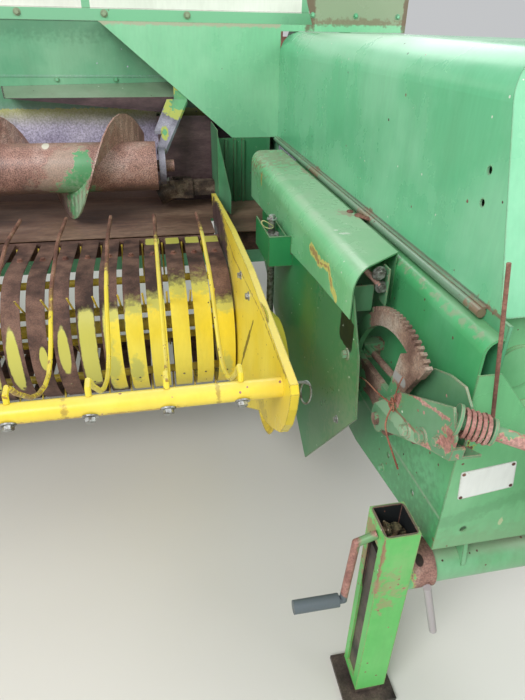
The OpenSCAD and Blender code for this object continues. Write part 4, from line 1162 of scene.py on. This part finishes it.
@dataclass
class BaleCase(SubAssembly):
    """The bale chamber with its skirts, hood, front sheet and drive block."""

    finishes: ClassVar[dict[str, Finish]] = {
        "case_side_left": MID_GREEN, "case_side_right": MID_GREEN, "case_floor": SCOURED,
        "case_roof": MID_GREEN, "skirt_left": SKIRT_GREEN, "skirt_right": SKIRT_GREEN,
        "front_sheet": SHEET_GREEN, "hood": HOOD_GREEN, "hood_end_panel": PANEL_GREEN,
        "drive_block": DEEP_GREEN,
    }
    # The blank plate's corners and its rivets, in x and z
    plate: tuple[tuple[float, float], ...] = ((-249, 676), (-147, 687), (-137, 624), (-242, 610))
    plate_rivets: tuple[tuple[float, float], ...] = ((-243, 671), (-152, 681), (-143, 629),
                                                     (-237, 615))

    def blank_plate(self) -> None:
        """Makes the bare plate on the front sheet, its corners where the photograph has them."""
        bm = bmesh.new()
        # The sheet's face is at y 0: the plate is 1.2 mm thick and lies 0.2 mm off it.
        face = bm.faces.new([bm.verts.new(at(x, -0.2, z)) for x, z in self.plate])
        soften(bm, list(face.verts), 0.004, 3, "VERTICES")
        grown = bmesh.ops.extrude_face_region(bm, geom=list(bm.faces))
        bmesh.ops.translate(bm, vec=(0, -0.0012, 0),
                            verts=[v for v in grown["geom"] if isinstance(v, bmesh.types.BMVert)])
        finished(bm, "blank_plate", PLATE_METAL)
        bm = bmesh.new()
        for x, z in self.plate_rivets:
            add_rivet(bm, at(x, -1.4, z), Axis.FRONT.vector, 7.0)
        finished(bm, "blank_plate_rivets", RUST)

    def build(self) -> None:
        """Makes the plate, the thin rod that stands hooked before the hood, and the bolts."""
        self.blank_plate()
        wire("standing_rod", RUST, 6.5,
             [(-235, 2, 800), (-235, -10, 799), (-235, -20, 801), (-239, -20, 820),
              (-258, -20, 930), (-282, -20, 1066)])
        self.bolts(
            "case_bolts", MID_GREEN,
            Row("skirt_right", Axis.LEFT, 13, (-320, 240, 465), (-320, 1000, 465), 4),
            Row("skirt_left", Axis.RIGHT, 13, (320, 240, 465), (320, 1000, 465), 4),
            Row("skirt_left", Axis.RIGHT, 15, (320, 80, 900), (320, 1180, 900), 5),
            Row("case_side_left", Axis.RIGHT, 13, (320, 1720, 1045), (320, 3520, 1045), 10),
            Row("case_side_right", Axis.LEFT, 13, (-320, 1720, 1045), (-320, 3520, 1045), 10),
            Row("case_side_left", Axis.RIGHT, 13, (320, 1290, 730), (320, 3590, 730), 12),
            Row("case_side_right", Axis.LEFT, 13, (-320, 1700, 730), (-320, 3590, 730), 10),
            *(Row("case_roof", Axis.DOWN, 13, (x, 1620, 1200), (x, 2480, 1200), 7)
              for x in (-205, 205)))
        self.bolts("hood_bolts", HOOD_GREEN,
                   Row("hood", Axis.RIGHT, 13, (320, 80, 985), (320, 1480, 985), 5),
                   Row("hood_end_panel", Axis.REAR, 11, (-120, 1500, 1360), (200, 1500, 1360), 3))
        self.bolts("front_sheet_bolts", SHEET_GREEN,
                   Row("front_sheet", Axis.REAR, 15, (235, -60, 540), (235, -60, 860), 4),
                   Row("front_sheet", Axis.REAR, 15, (-120, -60, 940), (120, -60, 940), 3))


@dataclass
class Feeder(SubAssembly):
    """The feed platform with its back wall, auger, bearing strap and drive knuckle."""

    finishes: ClassVar[dict[str, Finish]] = {
        "feeder_floor": TRODDEN, "feeder_back": WALL_GREEN, "feeder_end": MID_GREEN,
        "feeder_housing": DRIVE_GREEN, "auger_arm": STRAP, "auger": AUGER_PAINT,
        "deflector": WEDGE, "auger_drive": KNUCKLE,
    }
    seam_first: float = -826.0  # the first bolt of the wall's seam, along x
    seam_pitch: float = 207.0  # from one bolt to the next
    seam_bolts: int = 6

    def build(self) -> None:
        """Makes the bars below the platform's front edge and the bolts of wall and bearing."""
        flat_bars("floor_stiffener", DEEP_RUST, 0.0006, ((-1265, 1213.5, 671), (1470, 3, 74)),
                  ((-370, 1213.5, 671), (196, 3, 74)))
        last = self.seam_first - (self.seam_bolts - 1) * self.seam_pitch
        self.bolts("wall_seam_bolts", MID_GREEN,
                   Row("feeder_back", Axis.REAR, 12, (self.seam_first, 1600, 1147),
                       (last, 1600, 1147), self.seam_bolts))
        self.bolts("feeder_bolts", MID_GREEN,
                   Row("feeder_end", Axis.LEFT, 15, (-2120, 1200, 1000), (-2120, 1640, 1290), 4),
                   Row("feeder_end", Axis.LEFT, 15, (-2120, 1640, 700), (-2120, 1640, 1200), 4),
                   Row("feeder_back", Axis.FRONT, 15, (-1980, 1740, 690), (-300, 1740, 690), 8))
        self.bolts("bearing_bolts", DULL_ZINC,
                   Row("auger_arm", Axis.RIGHT, 13, (-640, 1393, 944), (-640, 1393, 846), 2))


@dataclass
class TwineBox(SubAssembly):
    """The twine box, its lid and hinges."""

    finishes: ClassVar[dict[str, Finish]] = {"twine_box": BOX_WHITE, "twine_lid": MID_GREEN,
                                             "lid_lugs": DULL_ZINC}
    flange: tuple[float, float] = (-1985.0, -555.0)  # the flange's end bolts, along x

    def build(self) -> None:
        """Makes the bolts of the lower flange and the lid's handle."""
        self.bolts("flange_bolts", PANEL_GREEN,
                   Row("twine_box", Axis.REAR, 15, *((x, 1600, 1352) for x in self.flange), 6))
        wire("lid_handle", DULL_ZINC, 10.0,
             [(-980, 1660, 1662), (-980, 1632, 1662), (-975, 1626, 1662), (-825, 1626, 1662),
              (-820, 1632, 1662), (-820, 1660, 1662)], "lid")


@dataclass
class DriveShield(SubAssembly):
    """The chain drive's rounded shield, the plate that hangs below it and the float rod."""

    finishes: ClassVar[dict[str, Finish]] = {
        "drive_shield": SHIELD_GREEN, "shield_plate": PLATE_GREEN, "float_rod": DULL_ZINC}
    # Each weld bead's x, y and radius
    beads: tuple[Point, ...] = ((-272, 593, 7), (-262, 560, 9), (-256, 545, 7), (-249, 533, 8))

    def build(self) -> None:
        """Makes the plate's bolts, the float rod's nut and pin, and the shield's small parts."""
        self.bolts("plate_bolts", CHEEK, Row("shield_plate", Axis.LEFT, 15, (-460, 245, 778)))
        self.bolts("plate_zinc_bolts", ZINC, Row("shield_plate", Axis.LEFT, 11, (-460, 261, 604)))
        self.bolts("float_rod_nut", ZINC, Row("float_rod", Axis.DOWN, 17, (-418, 786, 920)))
        wire("float_rod_pin", WIRE_CLIP, 3.0,
             [(-418, 772, 866), (-428, 768, 872), (-446, 768, 884), (-452, 768, 876),
              (-440, 768, 862), (-420, 768, 858), (-414, 780, 862)])
        self.weld_beads()
        self.inner_bracket()

    def weld_beads(self) -> None:
        """Makes the weld beads on the shield's flange beside the hood."""
        bm = bmesh.new()
        for x, y, size in self.beads:
            bmesh.ops.create_icosphere(bm, subdivisions=2, radius=size / MM,
                                       matrix=Matrix.Translation(at(x, y, 951))
                                       @ Matrix.Diagonal((1.2, 1.5, 0.6, 1)))
        finished(bm, "shield_weld_beads", RUST)

    def inner_bracket(self) -> None:
        """Makes the bracket, rod and nuts that show in the shield's open front end."""
        flat_bars("shield_bracket", CHEEK, 0.0008, ((-340, 302, 868), (46, 4, 56)),
                  ((-300, 292, 898), (4, 30, 76)))
        wire("shield_inner_rod", SPRING_RUST, 12.0,
             [(-352, 310, 937), (-334, 300, 924), (-312, 290, 900)])
        bm = bmesh.new()
        add_bolt(bm, at(-318, 286, 926), Axis.FRONT.vector, 17.0)
        add_bolt(bm, at(-309, 288, 896), Axis.FRONT.vector, 15.0, 0.4)
        finished(bm, "shield_inner_nuts", DULL_ZINC)


@dataclass
class LiftControl(SubAssembly):
    """The pickup lift's toothed sector, lever and coil spring."""

    finishes: ClassVar[dict[str, Finish]] = {"lift_quadrant": QUADRANT, "lift_lever": CHEEK,
                                             "lever_spring": SPRING_RUST}

    def build(self) -> None:
        """Makes the tie wires on the lever and the bolts of the lift."""
        for name, thick, points in (
                ("tie_wire_knot", 3.0, [(-343, 92, 772), (-347, 104, 764), (-346, 112, 752),
                                        (-343, 100, 745), (-345, 88, 752), (-348, 90, 768),
                                        (-346, 104, 775), (-343, 110, 760)]),
                ("tie_wire_tail", 3.0, [(-344, 100, 760), (-350, 140, 748), (-352, 205, 742),
                                        (-350, 262, 712), (-349, 318, 662), (-349, 344, 640)]),
                ("tie_wire_end", 3.4, [(-344, 98, 758), (-352, 104, 722), (-352, 86, 700),
                                       (-350, 58, 684), (-348, 34, 668)]),
                ("tie_wire_top", 2.4, [(-344, 96, 764), (-348, 90, 800), (-344, 82, 828)])):
            wire(name, TIE_WIRE, thick, points, "lift_lever")
        self.bolts("lift_bolts", CHEEK,
                   Row("skirt_right", Axis.LEFT, 13, (-330, 600, 870), (-330, 1000, 870), 2))
        self.bolts("lever_pivot_nut", CHEEK,
                   Row("lift_lever", Axis.LEFT, 18, (-370, 44, 747), (-370, -6, 774), 2),
                   Row("lift_lever", Axis.LEFT, 13, (-370, -48, 800)), body="lift_lever")


@dataclass
class Hitch(SubAssembly):
    """The front frame, jack, tongue and drive line."""

    finishes: ClassVar[dict[str, Finish]] = {
        "front_frame": CROSS_GREEN, "jack_tube": JACK_GREEN, "jack_leg": LEG, "crank": CRANK,
        "collar": COLLAR, "tongue": MID_GREEN, "pto_stand": MID_GREEN, "pto_shaft": YELLOW,
        "flywheel": DEEP_GREEN,
    }
    hub: Point = (60.0, -400.0, 710.0)  # before the middle of the flywheel
    hub_circle: float = 70.0  # the radius that its bolts lie on
    hub_bolts: int = 6

    def bevel_gear(self, bm: Mesh, place: Vector, way: Vector, radius: float, teeth: int) -> None:
        """Adds a bevel gear: a cone whose every second side face is drawn out into a tooth.

        Args:
            bm: The mesh that grows.
            place: The gear's middle, in metres.
            way: The direction that its narrow end faces.
            radius: Its wide end's radius, in metres.
            teeth: How many teeth it has.
        """
        turn = facing(way, place)
        made = bmesh.ops.create_cone(bm, cap_ends=True, segments=2 * teeth, radius1=radius,
                                     radius2=radius * 0.62, depth=radius * 0.55, matrix=turn)
        sides = [f for f in {f for v in made["verts"] for f in v.link_faces} if len(f.verts) == 4]
        sides.sort(key=lambda f: (turn.inverted() @ f.calc_center_median())
                   .to_2d().angle_signed(Vector((1.0, 0.0))))
        for face in sides[::2]:
            grown = bmesh.ops.extrude_discrete_faces(bm, faces=[face])["faces"][0]
            bmesh.ops.translate(bm, vec=grown.normal * radius * 0.16, verts=list(grown.verts))
            bmesh.ops.scale(bm, vec=(0.85, 0.85, 0.85), verts=list(grown.verts),
                            space=Matrix.Translation(-grown.calc_center_median()))

    def jack_gears(self) -> None:
        """Makes the jack's two bevel gears on their shafts."""
        side, up = Axis.LEFT.vector, Axis.UP.vector
        bm = bmesh.new()
        self.bevel_gear(bm, at(-352, 24, 526), side, 0.016, 12)
        self.bevel_gear(bm, at(-333, 27, 508), up, 0.025, 18)
        for place, way, radius, depth in ((at(-358, 24, 526), side, 0.007, 0.02),
                                          (at(-333, 27, 512), up, 0.01, 0.034)):
            bmesh.ops.create_cone(bm, cap_ends=True, segments=20, radius1=radius, radius2=radius,
                                  depth=depth, matrix=facing(way, place))
        finished(bm, "jack_gears", GEAR_STEEL)

    def build(self) -> None:
        """Makes the jack's gears and the fasteners of hitch and drive line."""
        self.jack_gears()
        self.bolts("tongue_bolts", DULL_ZINC,
                   Row("tongue", Axis.DOWN, 19, (40, -420, 520), (80, -420, 520), 2),
                   Row("tongue", Axis.RIGHT, 17, (180, -1240, 387), (180, -1180, 387), 2),
                   body="tongue")
        self.bolts("frame_bolts", DULL_ZINC,
                   Row("front_frame", Axis.DOWN, 19, (30, -340, 600), (90, -340, 600), 2))
        self.bolts("flywheel_bolts", DULL_ZINC,
                   *(Row("flywheel", Axis.REAR, 15, (x, self.hub[1], z)) for x, z in circle(
                       self.hub[0], self.hub[2], self.hub_circle, self.hub_bolts)),
                   body="flywheel")


@dataclass
class RunningGear(SubAssembly):
    """The axle with both wheels."""

    finishes: ClassVar[dict[str, Finish]] = {
        "axle": MID_GREEN, "tyre_left": BLACK_RUBBER, "tyre_right": BLACK_RUBBER,
        "rim_left": YELLOW, "rim_right": YELLOW,
    }
    centre: tuple[float, float] = (1950.0, 350.0)  # the wheels' middle, in y and z
    nut_circle: float = 52.0  # the radius that the nuts lie on
    nuts: int = 6
    # Each sidewall ring's radius and the radius of its bead
    rings: tuple[tuple[float, float], ...] = ((300.0, 4.0), (262.0, 3.0), (232.0, 3.0))

    def wheel(self, side: str, inward: Axis, x: float) -> None:
        """Makes a wheel's nuts, valve and moulded sidewall rings.

        Args:
            side: left or right.
            inward: The way from outside to the wheel.
            x: Where its outer side lies.
        """
        sign = -inward.vector.x
        y, z = self.centre
        start = x + 200 * sign
        body = "wheel_" + side
        self.bolts("wheel_nuts_" + side, DULL_ZINC,
                   *(Row("rim_" + side, inward, 17, (start, *spot))
                     for spot in circle(y, z, self.nut_circle, self.nuts)), body=body)
        bm = bmesh.new()
        for radius, thick in self.rings:
            found = self.seat("tyre_" + side, at(start, y, z + radius), inward)
            if found is None:
                continue
            ring = bmesh.ops.create_circle(bm, segments=8, radius=thick / MM,
                                           matrix=Matrix.Translation(found[0])
                                           @ Matrix.Rotation(math.pi / 2, 4, "X")
                                           @ Matrix.Rotation(math.pi / 2, 4, "Z"))["verts"]
            edges = list(dict.fromkeys(e for v in ring for e in v.link_edges))
            bmesh.ops.spin(bm, geom=ring + edges, cent=at(0, y, z), axis=(1, 0, 0),
                           angle=math.tau, steps=72, use_merge=True)
        finished(bm, "sidewall_rings_" + side, BLACK_RUBBER, body)
        wire("valve_" + side, BLACK_RUBBER, 9.0,
             [(x - off * sign, y + rise, z) for off, rise in ((46, 168), (20, 166), (8, 160))],
             body)

    def build(self) -> None:
        """Makes both wheels' fittings and the axle's bolts."""
        self.wheel("left", Axis.RIGHT, 530.0)
        self.wheel("right", Axis.LEFT, -2120.0)
        self.bolts("axle_bolts", DULL_ZINC,
                   *(Row("axle", Axis.REAR, 19, (x, 1700, 500), (x + 30, 1700, 500), 2)
                     for x in (-185, 155)))


@dataclass
class Pickup(SubAssembly):
    """The pickup with its end plates, stripper bands, tine reel and wind guard."""

    first_band: float = -552.0  # the first stripper band, along x
    band_pitch: float = 64.5  # from one band to the next
    bands: int = 23
    first_rod: float = -596.0  # the first guard rod, along x
    rod_pitch: float = 134.0  # from one rod to the next
    rods: int = 11
    tube: tuple[float, float] = (200.0, 748.0)  # the guard tube's middle, in y and z
    clamp_seat: float = 0.0186  # from there to the clamp bolts' washers, in metres
    finishes: ClassVar[dict[str, Finish]] = {
        "pickup_end_left": PICKUP_YELLOW, "pickup_end_right": PICKUP_YELLOW,
        "strippers": band_paint(first_band, band_pitch, bands), "tine_reel": REEL,
        "guard_tube": TUBE_YELLOW, "guard_rods": rod_paint(first_rod, rod_pitch, rods),
        "gauge_wheel": BLACK_RUBBER, "gauge_arm": YELLOW,
    }

    def band_bolts(self) -> None:
        """Makes the rusty bolt on top of each band and the dark one low on its front."""
        last = self.first_band - self.band_pitch * (self.bands - 1)
        for name, finish, way, across, y, z, rivet in (
                ("band_bolts", RUST, Axis.DOWN, 12, 1012, 760, False),
                ("band_front_rivets", GEAR_STEEL, Axis.REAR, 7, 600, 432, True)):
            self.bolts(name, finish, Row("strippers", way, across, (self.first_band, y, z),
                                         (last, y, z), self.bands, rivet), body="pickup")

    def guard_fittings(self) -> None:
        """Makes the rods' clamp bolts under the tube's front and the clip in its end."""
        y, z = self.tube
        way = Vector((0.0, -1.0, -0.8)).normalized()
        bm = bmesh.new()
        for i in range(self.rods):
            x = self.first_rod - self.rod_pitch * i
            add_bolt(bm, at(x, y, z) + way * self.clamp_seat, way, 17.0, 0.5 * i)
        finished(bm, "guard_clamp_bolts", ZINC, "wind_guard")
        ring = [(-471 + 9 * c, y + 4 - 7 * c, z - 22 + 27 * s) for c, s in circle(0, 0, 1, 10)]
        wire("guard_end_ring", ZINC, 4.5, ring, "wind_guard", closed=True)
        wire("guard_end_pin", DULL_ZINC, 6.0,
             [(-506, y, z + 6), (-490, y, z + 6), (-474, y + 1, z + 5), (-468, y + 1, z)],
             "wind_guard")

    def build(self) -> None:
        """Makes the pickup's fasteners."""
        self.band_bolts()
        self.guard_fittings()
        self.bolts("end_plate_bolts", ZINC,
                   Row("pickup_end_left", Axis.LEFT, 14, (-560, 674, 771), (-560, 554, 768), 2),
                   body="pickup")
        self.bolts(
            "end_plate_outer_bolts", DULL_ZINC,
            Row("pickup_end_left", Axis.RIGHT, 14, (-460, 1060, 620), (-460, 760, 620), 3),
            Row("pickup_end_right", Axis.LEFT, 14, (-2080, 1060, 760), (-2080, 560, 760), 4),
            Row("pickup_end_right", Axis.LEFT, 14, (-2080, 1100, 420), (-2080, 780, 420), 3),
            body="pickup")


@dataclass
class Knotters(SubAssembly):
    """The knotter stack, needle yoke and length-measuring star wheel."""

    finishes: ClassVar[dict[str, Finish]] = {
        "knotter_stack": DEEP_GREEN, "needle_yoke": MID_GREEN, "star_wheel": YELLOW,
    }

    def build(self) -> None:
        """Makes the bolts at both sides of the knotters."""
        self.bolts("knotter_bolts", DULL_ZINC,
                   *(Row("knotter_stack", way, 15, (x, 1850, 1110), (x, 2080, 1110), 3)
                     for x, way in ((260, Axis.RIGHT), (-260, Axis.LEFT))))


@dataclass
class Outlet(SubAssembly):
    """The tension rails, their screws and the bale chute."""

    finishes: ClassVar[dict[str, Finish]] = {
        "top_rails": MID_GREEN, "tension_screws": RUST, "chute": MID_GREEN,
    }
    screw_x: float = 180.0  # how far each tension screw stands from the case's middle
    screw_y: float = 3380.0  # where both stand along y

    def build(self) -> None:
        """Makes the tension screws' crank handles and the rails' bolts."""
        for name, side in (("tension_handle_right", -1), ("tension_handle_left", 1)):
            x = side * self.screw_x
            wire(name, DULL_ZINC, 12.0,
                 [(x + side * out, self.screw_y, z) for out, z in (
                     (0, 1396), (0, 1412), (6, 1418), (60, 1418), (66, 1422), (66, 1440))])
        self.bolts("rail_bolts", DULL_ZINC,
                   Row("top_rails", Axis.DOWN, 15, (-150, 2590, 1300), (150, 2590, 1300), 4),
                   *(Row("top_rails", Axis.DOWN, 13, (x, 3000, 1300), (x, 3300, 1300), 3)
                     for x in (-150, 150)), body="top_rails")


# ---------------------------------------------------------------- studio


@dataclass
class Studio:
    """The pale floor, soft light and camera at the photograph's place.

    Attributes:
        eye: The camera's place, in frame metres.
        yaw, pitch, roll: Its turn to the right, down and about its own axis, in degrees.
        focal_px: The focal length in pixels of the frame's long side.
        long_side_px: That side.
        sensor_mm: The camera's sensor width.
        floor_half: Half the floor's width, in metres.
        floor_tone, sky_tone: The colours of the floor and of the sky light.
        sky: The strength of the sky light.
        lamps: Each soft box's name, place, aim, width in metres and power in watts.
    """

    eye: Point = (0.075, -1.8725, 1.32)
    yaw: float = 11.61
    pitch: float = 31.19
    roll: float = 1.09
    focal_px: float = 533.0
    long_side_px: float = 700.0
    sensor_mm: float = 36.0
    floor_half: float = 30.0
    floor_tone: str = "#D8D6D0"
    sky_tone: str = "#F2F4F6"
    sky: float = 0.62
    lamps: tuple[tuple[str, Point, Point, float, float], ...] = (
        ("key", (-3.2, -4.6, 5.2), (0.2, -0.8, 0.7), 3.2, 330.0),
        ("fill", (3.8, -3.4, 3.4), (0.2, -0.8, 0.7), 2.6, 110.0),
        ("sky", (1.2, 4.6, 4.4), (0.3, -0.4, 1.0), 4.0, 150.0))

    def camera(self) -> None:
        """Adds the camera."""
        data = bpy.data.cameras.new("camera")
        data.sensor_width = self.sensor_mm
        data.lens = self.sensor_mm * self.focal_px / self.long_side_px
        shot = bpy.data.objects.new("camera", data)
        turn = (Matrix.Rotation(math.radians(-self.yaw), 4, "Z")
                @ Matrix.Rotation(math.radians(90.0 - self.pitch), 4, "X")
                @ Matrix.Rotation(math.radians(self.roll), 4, "Z"))
        shot.matrix_world = Matrix.Translation(self.eye) @ turn
        bpy.context.scene.collection.objects.link(shot)
        bpy.context.scene.camera = shot

    def floor(self) -> None:
        """Adds the plain pale floor."""
        bm = bmesh.new()
        bmesh.ops.create_grid(bm, x_segments=1, y_segments=1, size=self.floor_half)
        mesh = bpy.data.meshes.new("studio_floor")
        bm.to_mesh(mesh)
        bm.free()
        plane = bpy.data.objects.new("studio_floor", mesh)
        bpy.context.scene.collection.objects.link(plane)
        made = bpy.data.materials.new("matt_studio_floor")
        made.use_nodes = True
        tree = made.node_tree
        feed(tree, tree.nodes["Principled BSDF"],
             {"Base Color": colour(self.floor_tone), "Roughness": 0.9})
        mesh.materials.append(made)

    def lights(self) -> None:
        """Adds the sky light and the soft boxes."""
        world = bpy.data.worlds.new("studio")
        world.use_nodes = True
        tree = world.node_tree
        feed(tree, tree.nodes["Background"],
             {"Color": colour(self.sky_tone), "Strength": self.sky})
        bpy.context.scene.world = world
        for name, place, aim, size, power in self.lamps:
            data = bpy.data.lights.new(name, "AREA")
            data.shape, data.size, data.energy = "SQUARE", size, power
            lamp = bpy.data.objects.new(name, data)
            way = Vector(aim) - Vector(place)
            lamp.matrix_world = (Matrix.Translation(place)
                                 @ way.to_track_quat("-Z", "Y").to_matrix().to_4x4())
            bpy.context.scene.collection.objects.link(lamp)

    def build(self) -> None:
        """Adds everything of the studio."""
        bpy.context.scene.view_settings.view_transform = "Standard"
        self.camera()
        self.floor()
        self.lights()


def main() -> None:
    """Builds the studio and every sub-assembly."""
    logging.basicConfig(level=logging.INFO, format="%(name)s: %(message)s")
    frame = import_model()
    Studio().build()
    for kind in (BaleCase, Feeder, TwineBox, DriveShield, LiftControl, Hitch, RunningGear, Pickup,
                 Knotters, Outlet):
        part = kind(frame)
        part.dress()
        part.build()
        LOG.info("%s done", kind.__name__)


if __name__ == "__main__":
    main()
